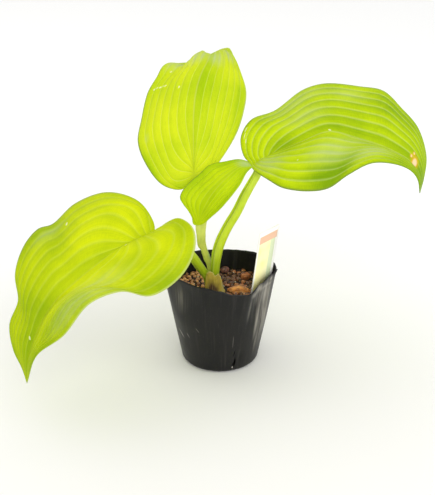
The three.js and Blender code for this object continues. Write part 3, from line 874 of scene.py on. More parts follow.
@dataclass(frozen=True)
class CardFinish:
    """Printed plastic card in plain bands, or its bare back. Lengths are millimetres."""

    SOFT = 0.25

    name: str
    printed: bool
    height: float = 72.0
    width: float = 24.5
    top_margin: float = 4.0
    band: float = 6.3
    side_margin: float = 1.1
    stripe: Pair = (15.5, 21.3)
    orange: Colour = tint(228, 184, 152)
    cream: Colour = tint(240, 234, 152)
    teal: Colour = tint(208, 220, 178)
    white: Colour = tint(244, 243, 236)
    aged: Colour = tint(236, 233, 220)

    def material(self) -> Material:
        """Build the material.

        Returns:
            The card material; its map runs across the card and up it, in millimetres.
        """
        paint = Paint(self.name)
        place = paint.map_place()
        grain = paint.cloud(700.0, 2.0)
        wash = paint.cloud(55.0, 2.0)
        if not self.printed:
            colour = paint.blend(paint.ease(wash, 0.35, 0.65), self.white, self.aged)
        else:
            x, up, _ = paint.axes(place)
            low, high = self.stripe
            top = self.height - self.top_margin
            right = self.width - self.side_margin * 1.5

            def past(value: Socket, limit: float) -> Socket:
                """Say where a place lies past a limit, with a soft edge."""
                return paint.ease(value, limit - self.SOFT, limit + self.SOFT)

            body = paint.blend(paint.ease(wash, 0.35, 0.65, 0.0, 0.35), self.cream, self.white)
            striped = paint.blend(paint.ease(x, low - 0.6, low + 0.8), body, self.teal)
            bared = paint.blend(past(x, high), striped, self.white)
            orange = paint.blend(past(x, right), self.orange, self.white)
            banded = paint.blend(past(up, top - self.band), bared, orange)
            topped = paint.blend(past(up, top), banded, self.white)
            colour = paint.blend(past(x, self.side_margin), self.white, topped)
        relief = paint.bump(grain, 0.02, 0.4)
        gloss = paint.ease(wash, 0.3, 0.7, 0.28, 0.38)
        face = paint.surface(Base_Color=colour, Roughness=gloss, Normal=relief, Specular_IOR_Level=0.45)
        return paint.done(face)


@dataclass(frozen=True)
class FloorFinish:
    """Matt pale floor with painted shade: a little darker and warmer around the pot than far away. Lengths
    are metres.
    """

    name: str = "pale_floor"
    near: Colour = tint(236, 235, 231)
    far: Colour = tint(253, 253, 252)
    middle: float = -0.12
    near_end: float = 0.08
    far_end: float = 0.6

    def material(self) -> Material:
        """Build the material.

        Returns:
            The floor material.
        """
        paint = Paint(self.name)
        cloud = paint.cloud(3.0, 2.0)
        x, y, _ = paint.axes(paint.object_place())
        forward = paint.calc("SUBTRACT", y, self.middle)
        away = paint.add("ShaderNodeCombineXYZ", {0: x, 1: forward}).outputs[0]
        reach = paint.add("ShaderNodeVectorMath", {0: away}, operation="LENGTH").outputs["Value"]
        place = paint.calc("ADD", reach, paint.times(cloud, 0.06))
        # Painted shade: darker near the pot, easing to the far colour.
        colour = paint.blend(paint.ease(place, self.near_end, self.far_end), self.near, self.far)
        return paint.done(paint.surface(Base_Color=colour, Roughness=0.8, Specular_IOR_Level=0.1))


@dataclass(frozen=True)
class Swell:
    """Single wave of one half of a blade, by place along and across."""

    half: Half
    along: float
    length: float
    across: float
    breadth: float
    height: float


@dataclass(frozen=True)
class Fan:
    """How the veins leave the midrib: over which share, in which step with the margin, how far ahead."""

    spread: float
    pace: float
    skip: float
    ramp: float


@dataclass(frozen=True)
class LeafShape:
    """Midrib, margins and stalk of a leaf, as points from the notch to the tip."""

    name: str
    veins: int
    fan: Fan
    midrib: tuple[Triple, ...]
    left: tuple[Triple, ...]
    right: tuple[Triple, ...]
    arch_left: Table
    arch_right: Table
    upper: Triple
    depth: float
    stalk: tuple[tuple[float, float, float, float], ...]
    swells: tuple[Swell, ...] = ()
    rib_below: float = 0.0
    rib: Table = (
        (0.05, 4), (0.1, 3.5), (0.18, 3), (0.28, 2.6), (0.38, 2.2), (0.5, 1.9), (0.6, 1.6), (0.7, 1.4),
        (0.8, 1.2),
    )


class Blade:
    """Curved surface of a leaf blade, asked for by half, place along and place across.

    A half of ARCH_ROOM millimetres or more has its full arch. The pleats are full PLEAT_ROOM off the
    midrib and fade over the last PLEAT_FADE of the length. FAN_BEND bends the start of the fan.
    """

    ARCH_ROOM = 25.0
    PLEAT = 0.8
    PLEAT_ROUND = 0.8
    PLEAT_ROOM = 12.0
    PLEAT_FADE = 0.3
    FAN_BEND = 1.3

    def __init__(self, shape: LeafShape) -> None:
        """Lay the midrib and both margins.

        Args:
            shape: Points and tables of the leaf.
        """
        self.shape = shape
        self.midrib = Curve(shape.midrib)
        ends = (shape.midrib[0], shape.midrib[-1])
        self.margin = {
            Half.LEFT: Curve((ends[0], *shape.left, ends[1])),
            Half.RIGHT: Curve((ends[0], *shape.right, ends[1])),
        }
        self.arch = {Half.LEFT: shape.arch_left, Half.RIGHT: shape.arch_right}

    def reach(self, half: Half, along: Array) -> Array:
        """Go from the midrib to the margin of a half at places along it."""
        return self.margin[half].at(along) - self.midrib.at(along**self.shape.fan.pace)

    def normal(self, half: Half, along: Array) -> Array:
        """Tell which way is up on a half.

        Args:
            half: Half of the blade.
            along: Places along, 0 at the notch and 1 at the tip.

        Returns:
            The unit direction at each place.
        """
        near = np.clip(along, 0.06, 0.94)
        direction = self.midrib.direction(near**self.shape.fan.pace)
        normal = unit(np.cross(direction, self.reach(half, near)))
        return normal if half is Half.LEFT else -normal

    def relief(self, half: Half, along: Array, across: Array) -> Array:
        """Height of the blade above the line from midrib to margin.

        Args:
            half: Half of the blade.
            along: Places along, 0 at the notch and 1 at the tip.
            across: Places across, 0 at the midrib and 1 at the margin.

        Returns:
            The height in millimetres: the arch, the single waves and the pleats between the veins.
        """
        width = np.linalg.norm(self.reach(half, along), axis=-1)
        arch = station(self.arch[half], along) * 4 * across * (1 - across)
        height = arch * np.minimum(width / self.ARCH_ROOM, 1)
        for swell in self.shape.swells:
            if swell.half is half:
                lengthways = ((along - swell.along) / swell.length) ** 2
                sideways = ((across - swell.across) / swell.breadth) ** 2
                height = height + swell.height * np.exp(-lengthways - sideways) * smooth(across * 10)
        pleat = np.abs(np.sin(np.pi * self.shape.veins * across)) ** self.PLEAT_ROUND - 0.5
        fade = np.minimum(width * across / self.PLEAT_ROOM, 1) * smooth((1 - along) / self.PLEAT_FADE)
        return height + self.PLEAT * pleat * fade

    def point(self, half: Half, along: Array, across: Array) -> Array:
        """Give points of the blade.

        Args:
            half: Half of the blade.
            along: Places along, 0 at the notch and 1 at the tip.
            across: Places across, 0 at the midrib and 1 at the margin.

        Returns:
            The points in millimetres.
        """
        fan = self.shape.fan
        inner = 1 - across
        start = fan.spread * inner**self.FAN_BEND
        ahead = along + (1 - along) * fan.skip * inner
        risen = np.clip(along / np.maximum(fan.ramp * inner, 1e-9), 0, 1)
        risen = np.where(inner > 0, risen, 1.0)
        share = across * (1 - (1 - risen) ** 2)
        root = self.midrib.at(start + (1 - start) * along**fan.pace)
        base = root + self.reach(half, ahead) * share[..., None]
        return base + self.normal(half, along) * self.relief(half, along, across)[..., None]


@dataclass
class Leaf:
    """One leaf: a thin pleated blade grown together with its gutter-shaped stalk."""

    GROOVE_SPREAD = 0.24

    shape: LeafShape
    blade_finish: BladeFinish
    stalk_finish: StalkFinish
    slot: Slot = Slot.LEAF
    rows: int = 110
    vein_columns: int = 8
    thickness: float = 0.5
    stalk_rows: int = 90
    stalk_columns: int = 40
    stalk_groove: float = 0.5
    rib_depth: float = 0.5
    rib_sink: float = 0.3

    def blade_shell(self, blade: Blade) -> Shell:
        """Mesh both halves, which share the midrib and come together in the tip.

        Args:
            blade: Surface of the blade.

        Returns:
            The closed shell of the blade.
        """
        rows = self.rows
        columns = self.vein_columns * self.shape.veins
        points: list[Array] = []
        known: dict[tuple, int] = {}
        steps = (np.linspace(0, 1, count + 1) for count in (rows, columns))
        along, across = np.meshgrid(*steps, indexing="ij")
        surfaces = {half: blade.point(half, along, across) for half in Half}

        def index(half: Half, i: int, j: int) -> int:
            """Number a grid point, shared on the midrib, along the notch and in the tip.

            Args:
                half: Half of the blade.
                i: Row, from the notch.
                j: Column, from the midrib.

            Returns:
                The number of the point.
            """
            name: tuple = (half, i, j)
            if i == rows:
                name = ("tip",)
            elif i == 0:
                name = ("notch", j)
            elif j == 0:
                name = ("midrib", i)
            if name not in known:
                known[name] = len(points)
                points.append(surfaces[half][i, j])
            return known[name]

        faces = []
        places = []
        for half in Half:
            side = 0.5 if half is Half.LEFT else -0.5
            for i in range(rows):
                for j in range(columns):
                    corners = [(i, j), (i + 1, j), (i + 1, j + 1), (i, j + 1)]
                    if i == rows - 1:
                        corners.pop(2)
                    if half is Half.RIGHT:
                        corners.reverse()
                    faces.append(tuple(index(half, *corner) for corner in corners))
                    places.append(tuple((0.5 + side * c / columns, r / rows) for r, c in corners))
        sheet = Shell(np.array(points), faces, places, [0] * len(faces))
        return sheet.thickened(np.full(len(points), self.thickness))

    def stalk_section(self, width: float, depth: float, groove: float) -> Array:
        """Nearly round section with a narrow groove in its upper side.

        Args:
            width: Width of the stalk.
            depth: Its depth as a share of the width.
            groove: How deep the groove is, as a share of the radius.

        Returns:
            Ring of places across and up, from the left side round below.
        """
        angles = np.linspace(math.pi, 3 * math.pi, self.stalk_columns, endpoint=False)
        dip = 1 - groove * np.exp(-(((angles - 2.5 * math.pi) / self.GROOVE_SPREAD) ** 2))
        return np.stack([np.cos(angles), depth * np.sin(angles) * dip], -1) * width / 2

    def stalk_shell(self, blade: Blade) -> Shell:
        """Draw the stalk and the rib it runs into along one path.

        Args:
            blade: Surface of the blade that the rib follows.

        Returns:
            The closed shell of the stalk.
        """
        shape = self.shape
        upper = unit(np.array(shape.upper, float))
        last = len(shape.stalk) - 1
        stops = []
        for k, (x, y, z, width) in enumerate(shape.stalk):
            groove = 0.0 if k < 2 or k == last else self.stalk_groove
            stops.append((x, y, z, width, shape.depth, groove, *upper))
        for share, width in shape.rib:
            along = np.array([share ** (1 / shape.fan.pace)])
            normal = unit(blade.normal(Half.LEFT, along) + blade.normal(Half.RIGHT, along))[0]
            sink = width * self.rib_sink + shape.rib_below
            place = blade.midrib.at(np.array([share]))[0] - normal * sink
            stops.append((*place, width, self.rib_depth, 0.0, *normal))
        path = Curve([stop[:3] for stop in stops])
        columns = np.array(stops).T
        steps = np.linalg.norm(np.diff(columns[:3].T, axis=0), axis=1)
        reach = np.concatenate([[0], np.cumsum(steps)])
        tables = [list(zip(reach / reach[-1], row)) for row in columns[3:]]
        rings = []
        for share in np.linspace(0, 1, self.stalk_rows + 1):
            direction = path.direction(share)
            width, depth, groove, *up = (float(station(table, share)) for table in tables)
            side = unit(np.cross(up, direction))
            over = np.cross(direction, side)
            section = self.stalk_section(width, depth, groove)
            rings.append(path.at(share) + section[:, :1] * side + section[:, 1:] * over)
        return closed_grid(np.array(rings), slot=1)

    def build(self) -> Piece:
        """Make the leaf and let it stand for its solid.

        Returns:
            The leaf.
        """
        blade = Blade(self.shape)
        shell = self.blade_shell(blade).joined(self.stalk_shell(blade))
        materials = [self.blade_finish.material(self.shape.veins), self.stalk_finish.material()]
        piece = shell.piece(f"{self.shape.name}_grown", materials)
        return dress(piece, self.slot, self.shape.name)


def dress(piece: Piece, slot: Slot, *nodes: str) -> Piece:
    """Let a piece ride on the part and stand for solids.

    Args:
        piece: The piece.
        slot: Material slot of the record; not used.
        *nodes: Solids that the piece stands for.

    Returns:
        The piece.
    """
    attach(piece, BODY)
    if nodes:
        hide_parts(*nodes)
    LOG.info("%s: %d faces", piece.name, len(piece.data.polygons))
    return piece


@dataclass(frozen=True)
class Crease:
    """Upright crease of the film: angle, half width, depth and height range."""

    turn: float
    width: float
    depth: float
    low: float
    high: float


@dataclass
class Pot:
    """Nursery pot of soft film, its rim pushed out of round.

    The tables of the rim and the creases go by angle. The map counts heights in shares of MAP_HEIGHT.
    """

    MAP_HEIGHT = 80.0

    base_radius: float = 30.5
    rim_radius: float = 45.0
    height: float = 76.0
    foot_round: float = 5.0
    wall: float = 0.6
    floor: float = 1.4
    round_below: float = 40.0
    columns: int = 240
    wall_rows: int = 46
    floor_rings: Pair = (1.0, 15.0)
    lip: float = 0.12
    ripple: float = 0.12
    rim_radii: Table = (
        (0, 44.5), (45, 45.5), (90, 45), (135, 45), (180, 45.5), (226, 40), (254, 41.3), (270, 44.1),
        (284, 46.5), (297, 48), (315, 43.6), (330, 43), (344, 43.9), (360, 44.5),
    )
    rim_heights: Table = (
        (0, 78.2), (45, 76.5), (90, 75), (135, 76), (180, 78), (226, 80.2), (254, 79.7), (270, 78.8),
        (284, 76), (297, 75.2), (315, 79.4), (330, 81.3), (344, 82), (360, 78.2),
    )
    creases: tuple[Crease, ...] = (
        Crease(296, 5, 0.9, 3, 24), Crease(312, 6, 0.9, 40, 82), Crease(328, 6, 0.7, 36, 82),
        Crease(236, 8, 0.6, 50, 84),
    )
    wrinkles: tuple[Crease, ...] = (
        Crease(303, 2.2, 0.55, 34, 84), Crease(318, 1.8, -0.5, 42, 84), Crease(322, 2, 0.6, 30, 80),
        Crease(334, 2.4, -0.45, 44, 86), Crease(286, 3, 0.35, 48, 84), Crease(252, 3.5, -0.3, 52, 84),
        Crease(290.5, 1.5, 0.9, 3, 24), Crease(293.5, 2.0, -0.4, 2, 22), Crease(215, 3, 0.35, 46, 84),
        Crease(14, 3, 0.5, 40, 84), Crease(40, 4, -0.4, 50, 84), Crease(75, 3, 0.4, 44, 84),
        Crease(120, 3.5, 0.45, 48, 84), Crease(158, 3, -0.4, 46, 84), Crease(190, 3, 0.4, 40, 80),
    )
    curl_turn: float = 343.0
    curl_width: float = 2.4
    curl_out: float = 1.6
    curl_up: float = 1.2
    tear_down: float = 1.6
    rim_ragged: float = 0.18
    drain_holes: int = 6
    drain_ring: float = 20.0
    drain_radius: float = 3.0
    drill_past: float = 3.0

    def radius(self, turn: Array, height: Array, fine: bool = True) -> Array:
        """Radius of the outer wall.

        Args:
            turn: Angles in degrees.
            height: Heights in millimetres.
            fine: Whether to add the small wrinkles of the film.

        Returns:
            The radius at each angle and height.
        """
        taper = mix(self.base_radius, self.rim_radius, height / self.height)
        slack = smooth((height - self.round_below) / (self.height - self.round_below))
        radius = taper + slack * (station(self.rim_radii, np.mod(turn, 360)) - self.rim_radius)
        for crease in self.creases + (self.wrinkles if fine else ()):
            middle = (crease.low + crease.high) / 2
            fade = smooth(1 - np.abs(height - middle) / (middle - crease.low))
            gap = np.mod(turn - crease.turn + 180, 360) - 180
            radius = radius - crease.depth * fade * np.exp(-((gap / crease.width) ** 2))
        if fine:
            waves = np.sin(np.radians(turn * 11) + height * 0.05) * np.sin(np.radians(turn * 7) + 1.3)
            radius = radius + self.ripple * waves * smooth((height - 20) / 50)
        return radius

    def wall_row(self, share: float, inset: float, lift: float = 0.0) -> Array:
        """Lay a ring of the wall.

        Args:
            share: Share of the height of the wall.
            inset: How far inward of the outer wall.
            lift: How far above its height.

        Returns:
            The points of the ring.
        """
        turn = circle(self.columns)
        ragged = self.rim_ragged * np.sin(np.radians(turn * 23)) * np.sin(np.radians(turn * 13) + 2)
        near_rim = smooth((share - 0.9) / 0.1)
        tear_turn = self.curl_turn - 2.2 * self.curl_width
        curl, tear = (
            np.exp(-(((turn - middle) / self.curl_width) ** 2)) * near_rim
            for middle in (self.curl_turn, tear_turn)
        )
        rim = station(self.rim_heights, turn) + ragged * near_rim
        height = mix(self.foot_round, rim + curl * self.curl_up - tear * self.tear_down, share)
        return self.ring(turn, self.radius(turn, height) - inset + self.curl_out * curl, height + lift)

    @staticmethod
    def ring(turn: Array, radius: Array, height: Array) -> Array:
        """Lay points around the axis.

        Args:
            turn: Angles in degrees.
            radius: Radius, or one for each angle.
            height: Height, or one for each angle.

        Returns:
            The points.
        """
        angle = np.radians(turn)
        spread = np.broadcast_to(np.asarray(radius, float), turn.shape)
        level = np.broadcast_to(np.asarray(height, float), turn.shape)
        return np.stack([spread * np.cos(angle), spread * np.sin(angle), level], -1)

    def foot_row(self, share: float) -> Array:
        """Lay a ring of the rounded foot.

        Args:
            share: Share of the way from the base to the wall.

        Returns:
            The points of the ring.
        """
        turn = circle(self.columns)
        angle = share * math.pi / 2
        radius = self.radius(turn, self.foot_round) - self.foot_round * (1 - math.sin(angle))
        return self.ring(turn, radius, self.foot_round * (1 - math.cos(angle)))

    def shell(self) -> Shell:
        """Mesh the pot as one closed wall and floor.

        Returns:
            The closed shell, its map running around the pot and up its wall.
        """
        turn = circle(self.columns)
        inner = self.radius(turn, self.foot_round) - self.foot_round
        shares = np.linspace(0, 1, self.wall_rows)
        rows = [self.ring(turn, radius, 0.0) for radius in self.floor_rings]
        rows += [self.foot_row(share) for share in (0.0, 0.2, 0.4, 0.6, 0.8)]
        rows += [self.wall_row(share, 0.0) for share in shares]
        rows.append(self.wall_row(1.0, self.wall / 2, lift=self.lip))
        rows += [self.wall_row(share, self.wall) for share in reversed(shares)]
        rows += [self.ring(turn, radius, self.floor) for radius in (inner, *reversed(self.floor_rings))]
        shell = closed_grid(np.array(rows))
        shell.places = [
            tuple(
                (self.turn_share(face, corner, shell.points), shell.points[corner][2] / self.MAP_HEIGHT)
                for corner in face
            )
            for face in shell.faces
        ]
        return shell

    @staticmethod
    def turn_share(face: Sequence[int], corner: int, points: Array) -> float:
        """Tell how far around the pot a corner is, without a jump inside its face.

        Args:
            face: Corners of the face.
            corner: The corner.
            points: Points of the shell.

        Returns:
            The share of a full turn.
        """
        middle = points[list(face)].mean(axis=0)
        whole = math.atan2(middle[1], middle[0]) / (2 * math.pi) % 1
        own = math.atan2(points[corner][1], points[corner][0]) / (2 * math.pi) % 1
        return own + round(whole - own)

    def build(self) -> Piece:
        """Make the pot with its drain holes.

        Returns:
            The pot.
        """
        # The marks are placed by angle (share of a turn) and by height (share of MAP_HEIGHT).
        scratches = marks(
            (0.59, 0.383, 0.003, 0.05, 1.0, -0.334), (0.674, 0.5, 0.0012, 0.03, 0.4, -0.25),
            (0.63, 0.4, 0.0012, 0.03, 0.7, -0.2), (0.8, 0.062, 0.0034, 0.014),
            (0.795, 0.38, 0.0009, 0.09, 0.3),
        )
        # Pale ragged streaks of painted reflection, and a painted highlight along the rim.
        painted_reflections = marks(
            (0.8812, 0.62, 0.012, 0.36), (0.9125, 0.84, 0.014, 0.17), (0.92, 0.6, 0.045, 0.5, 0.8),
            (0.8396, 0.74, 0.007, 0.2, 0.4), (0.905, 0.925, 0.05, 0.03), (0.898, 0.3, 0.012, 0.2, 0.6),
            (0.605, 0.8, 0.05, 0.22, 0.3), (0.93, 0.97, 0.012, 0.035), (0.915, 0.93, 0.006, 0.04),
            (0.875, 0.94, 0.03, 0.07), (0.85, 0.9, 0.02, 0.05, 0.7), (0.9, 0.85, 0.06, 0.16, 0.6),
        )
        # Near-black painted shadow in the creases of the film.
        fold_shadows = marks(
            (0.8035, 0.23, 0.003, 0.06, 1.0, 0.06), (0.8075, 0.11, 0.0065, 0.075, 1.0, 0.05),
            (0.8, 0.1, 0.003, 0.03, 1.0, 0.1), (0.891, 0.7, 0.0028, 0.2), (0.905, 0.5, 0.003, 0.3, 0.8),
        )
        film = FilmFinish("black_film", scratches, painted_reflections, fold_shadows)
        piece = self.shell().piece("pot_film", [film.material()])
        cutter = self.drill()
        cut = piece.modifiers.new("drain_holes", "BOOLEAN")
        cut.operation = "DIFFERENCE"
        cut.solver = "EXACT"
        cut.object = cutter
        make_real(piece)
        bpy.data.objects.remove(cutter)
        return dress(piece, Slot.FILM, "pot")

    def drill(self) -> Piece:
        """Make the pegs that cut the drain holes.

        Returns:
            All the pegs as one piece.
        """
        pegs: Optional[Shell] = None
        angles = circle(24)
        levels = (-self.drill_past, self.floor + self.drill_past)
        for k in range(self.drain_holes):
            aim = (k + 0.5) * 2 * math.pi / self.drain_holes
            centre = np.array([math.cos(aim) * self.drain_ring, math.sin(aim) * self.drain_ring, 0])
            rings = [self.ring(angles, self.drain_radius, level) + centre for level in levels]
            peg = closed_grid(np.array(rings))
            pegs = peg if pegs is None else pegs.joined(peg)
        assert pegs is not None
        return pegs.piece("drain_pegs", [])


@dataclass(frozen=True)
class Crown:
    """Place of the short stem in the mix that carries the stalks, and how far grains keep off it."""

    x: float = -5.2
    y: float = -4.2
    keep_off: float = 9.9

    def material(self) -> Material:
        """Fleshy, half woody tissue."""
        tones = (tint(92, 84, 34), tint(150, 150, 66), tint(186, 176, 110))
        return GroundFinish("crown_flesh", *tones, scale=140.0, rough=0.6, depth=0.3).material()


@dataclass
class BudScale:
    """Papery scale around the front of the stalks, its edge torn into two points."""

    crown: Crown
    radius: float = 9.0
    flare: float = 0.5
    bottom: float = 55.0
    thickness: float = 0.5
    columns: int = 150
    rows: int = 30
    notch_turn: float = 275.0
    tuck_turn: float = 231.0
    edge: Table = (
        (226, 68), (231, 76), (237, 79.5), (254, 81.1), (264, 80.6), (280, 77.6), (293, 79), (304, 76.5),
        (314, 72), (324, 66.1), (332, 63), (345, 62),
    )

    def build(self) -> Piece:
        """Make the scale.

        Returns:
            The scale.
        """
        turn = np.linspace(self.edge[0][0], self.edge[-1][0], self.columns + 1)
        ragged = 0.35 * np.sin(turn * 1.7) * np.sin(turn * 0.61 + 1)
        notch = 0.5 * np.exp(-(((turn - self.notch_turn) / 1.6) ** 2))
        height = station(self.edge, turn) + (ragged - notch)
        share = np.linspace(0, 1, self.rows + 1)[:, None]
        wave = 0.12 * np.sin((turn - turn[0]) / 6 * 1.9) + 0.05 * np.sin(turn * 1.3)
        tucked = 0.5 * share**3 * np.exp(-(((turn - self.tuck_turn) / 6) ** 2))
        radius = self.radius + self.flare * share + wave - tucked
        angle = np.radians(turn)
        x, y = self.crown.x + radius * np.cos(angle), self.crown.y + radius * np.sin(angle)
        sheet = grid_shell(np.stack([x, y, mix(self.bottom, height, share)], -1))
        taper = np.repeat(mix(1.0, 0.45, np.linspace(0, 1, self.rows + 1)), self.columns + 1)
        shell = sheet.thickened(self.thickness * taper)
        piece = shell.piece("papery_scale", [HuskFinish("dry_husk").material()])
        return dress(piece, Slot.SCALE, "bud_scale")


@dataclass
class Card:
    """Plastic plant label standing inside the right front of the rim."""

    width: float = 24.5
    height: float = 72.0
    thickness: float = 0.7
    bevel: float = 0.15
    corner: float = 1.0
    foot: float = 5.0
    top_left: Triple = (29.4, -34.7, 121.6)
    across: Triple = (14.4, 17.5, 0.3)
    up: Triple = (4.4, -5.0, 43.3)

    def outline(self, inset: float) -> Array:
        """Lay the rounded outline.

        Args:
            inset: How far inward of the edge.

        Returns:
            Places in millimetres across and up from the lower left corner.
        """
        places = []
        corners = (
            (1, 0, self.foot, -90), (1, 1, self.corner, 0), (0, 1, self.corner, 90), (0, 0, self.foot, 180),
        )
        for right, top, round_off, start in corners:
            x = self.width - round_off if right else round_off
            y = self.height - round_off if top else round_off
            for turn in np.radians(np.linspace(start, start + 90, 9)):
                reach = round_off - inset
                places.append((x + reach * math.cos(turn), y + reach * math.sin(turn)))
        return np.array(places)

    def build(self) -> Piece:
        """Make the card.

        Returns:
            The card, its map in millimetres across and up.
        """
        across = unit(np.array(self.across))
        face = unit(np.cross(across, np.array(self.up)))
        up = np.cross(face, across)
        origin = np.array(self.top_left) - up * self.height
        half = self.thickness / 2
        bevel = self.bevel
        layers = ((bevel, -half), (0.0, -half + bevel), (0.0, half - bevel), (bevel, half))
        rings = []
        flat = []
        for inset, depth in layers:
            outline = self.outline(inset)
            flat.append(outline)
            rings.append(origin + outline[:, :1] * across + outline[:, 1:] * up + depth * face)
        shell = closed_grid(np.array(rings))
        middle = np.array([[self.width / 2, self.height / 2]] * 2)
        places = np.vstack([*flat, middle])
        shell.places = [tuple(tuple(places[corner]) for corner in corners) for corners in shell.faces]
        top = len(flat[0]) * 3
        shell.slots = [0 if min(corners) >= top else 1 for corners in shell.faces]
        printed = CardFinish("printed_card", True, self.height, self.width)
        bare = CardFinish("bare_card", False, self.height, self.width)
        piece = shell.piece("plant_card", [printed.material(), bare.material()])
        return dress(piece, Slot.CARD, "plant_label")


@dataclass
class Chip:
    """Bark chip lying half sunk in the mix."""

    ROWS = 48
    COLUMNS = 72
    POLE = 0.02

    node: str
    centre: Triple
    half: Triple
    turn: float
    seed: float
    finish: BarkFinish
    bow: Pair = (0.0, 0.0)

    def build(self) -> Piece:
        """Make the chip.

        Returns:
            The chip: a rounded, uneven slab with fibre ridges.
        """
        tilt = np.linspace(self.POLE, math.pi - self.POLE, self.ROWS)[::-1, None]
        turn = np.linspace(0, 2 * math.pi, self.COLUMNS, endpoint=False)
        x = np.sin(tilt) * np.cos(turn)
        y = np.sin(tilt) * np.sin(turn)
        z = np.cos(tilt) + 0 * turn
        square = 1 / (x**4 + y**4 + z**4) ** 0.25
        uneven = 1 + 0.09 * np.sin(4 * x + self.seed) * np.cos(5 * y + 2 * self.seed)
        fibres = 0.035 * np.sin(19 * y + 3 * z + 2 * np.sin(3 * x))
        knots = 0.03 * np.sin(13 * x + self.seed) * np.cos(11 * z)
        reach = mix(1.0, square, 0.6) * (uneven + (fibres + knots))
        points = np.stack([x, y, z], -1) * reach[..., None] * np.array(self.half)
        points[..., 1:] -= x[..., None] ** 2 * np.array(self.bow)
        shell = closed_grid(points)
        spin = Matrix.Rotation(math.radians(self.turn), 3, "Z")
        shell.points = shell.points @ np.array(spin).T + np.array(self.centre)
        piece = shell.piece(f"{self.node}_rough", [self.finish.material()])
        return dress(piece, Slot.BARK, self.node)


@dataclass
class Scatter:
    """Grains strewn over a surface by a tree of geometry nodes.

    TONE and COVER are the attributes for a grain's own tone and for the share of the full density. LEAN
    is how far a grain may lie askew and CLOUD the scale of its unevenness.
    """

    TONE = "tone"
    COVER = "cover"
    FULL_DENSITY = 2.0e6
    LEAN = 0.5
    CLOUD = 420.0

    name: str
    spacing: float
    smallest: Triple
    largest: Triple
    rough: float
    seed: int
    finish: GroundFinish

    INPUTS = {
        "Spacing": "Float", "Smallest": "Vector", "Largest": "Vector", "Unevenness": "Float", "Seed": "Int",
        "Material": "Material",
    }

    def tree(self) -> NodeTree:
        """Build the tree: scatter points, put a lump on each, make them real and uneven.

        Returns:
            The tree, with its sizes as named inputs.
        """
        tree = bpy.data.node_groups.new(f"{self.name}_tree", "GeometryNodeTree")
        for label, kind in (("Geometry", "Geometry"), *self.INPUTS.items()):
            tree.interface.new_socket(name=label, in_out="INPUT", socket_type=f"NodeSocket{kind}")
        tree.interface.new_socket(name="Geometry", in_out="OUTPUT", socket_type="NodeSocketGeometry")
        given = tree.nodes.new("NodeGroupInput").outputs
        add = partial(add_node, tree)
        cover = add("GeometryNodeInputNamedAttribute", {"Name": self.COVER}, data_type="FLOAT")
        inputs = {
            "Mesh": given["Geometry"], "Distance Min": given["Spacing"], "Density Max": self.FULL_DENSITY,
            "Density Factor": cover.outputs["Attribute"], "Seed": given["Seed"],
        }
        points = add("GeometryNodeDistributePointsOnFaces", inputs, distribute_method="POISSON")
        lump = add("GeometryNodeMeshUVSphere", {"Segments": 7, "Rings": 5, "Radius": 1.0})
        ranges = (
            (given["Smallest"], given["Largest"]),
            ((-self.LEAN, -self.LEAN, 0.0), (self.LEAN, self.LEAN, 2 * math.pi)),
        )
        size, spin = (
            add("FunctionNodeRandomValue", {"Min": low, "Max": high, "Seed": given["Seed"]},
                data_type="FLOAT_VECTOR")
            for low, high in ranges
        )
        inputs = {
            "Points": points.outputs["Points"], "Instance": lump.outputs["Mesh"],
            "Rotation": spin.outputs[0], "Scale": size.outputs[0],
        }
        lumps = add("GeometryNodeInstanceOnPoints", inputs)
        own = add("FunctionNodeRandomValue", {"Seed": given["Seed"]}, data_type="FLOAT")
        inputs = {"Geometry": lumps.outputs[0], "Name": self.TONE, "Value": own.outputs[1]}
        toned = add("GeometryNodeStoreNamedAttribute", inputs, data_type="FLOAT", domain="INSTANCE")
        real = add("GeometryNodeRealizeInstances", {0: toned.outputs[0]})
        place = add("GeometryNodeInputPosition", {})
        inputs = {"Vector": place.outputs[0], "Scale": self.CLOUD, "Detail": 1.0}
        cloud = add("ShaderNodeTexNoise", inputs)
        inputs = {0: cloud.outputs["Color"], 1: (0.5, 0.5, 0.5)}
        middle = add("ShaderNodeVectorMath", inputs, operation="SUBTRACT")
        inputs = {0: middle.outputs[0], "Scale": given["Unevenness"]}
        push = add("ShaderNodeVectorMath", inputs, operation="SCALE")
        uneven = add("GeometryNodeSetPosition", {"Geometry": real.outputs[0], "Offset": push.outputs[0]})
        inputs = {"Geometry": uneven.outputs[0], "Material": given["Material"]}
        painted = add("GeometryNodeSetMaterial", inputs)
        add("NodeGroupOutput", {0: painted.outputs[0]})
        return tree

    def build(self, patch: Shell, cover: Array) -> Piece:
        """Strew the grains.

        Args:
            patch: Surface to strew them on.
            cover: Share of the full density at every point of the patch.

        Returns:
            The grains as one plain mesh.
        """
        piece = patch.piece(self.name, [])
        attribute = piece.data.attributes.new(self.COVER, "FLOAT", "POINT")
        attribute.data.foreach_set("value", np.asarray(cover, float))
        tree = self.tree()
        modifier = piece.modifiers.new("grains", "NODES")
        modifier.node_group = tree
        values = {
            "Spacing": self.spacing * MM,
            "Smallest": tuple(size * MM / 2 for size in self.smallest),
            "Largest": tuple(size * MM / 2 for size in self.largest),
            "Unevenness": self.rough * MM,
            "Seed": self.seed,
            "Material": self.finish.material(),
        }
        for socket in tree.interface.items_tree:
            if socket.name in values and socket.in_out == "INPUT":
                modifier[socket.identifier] = values[socket.name]
        make_real(piece)
        piece.data.shade_smooth()
        return dress(piece, Slot.MIX)


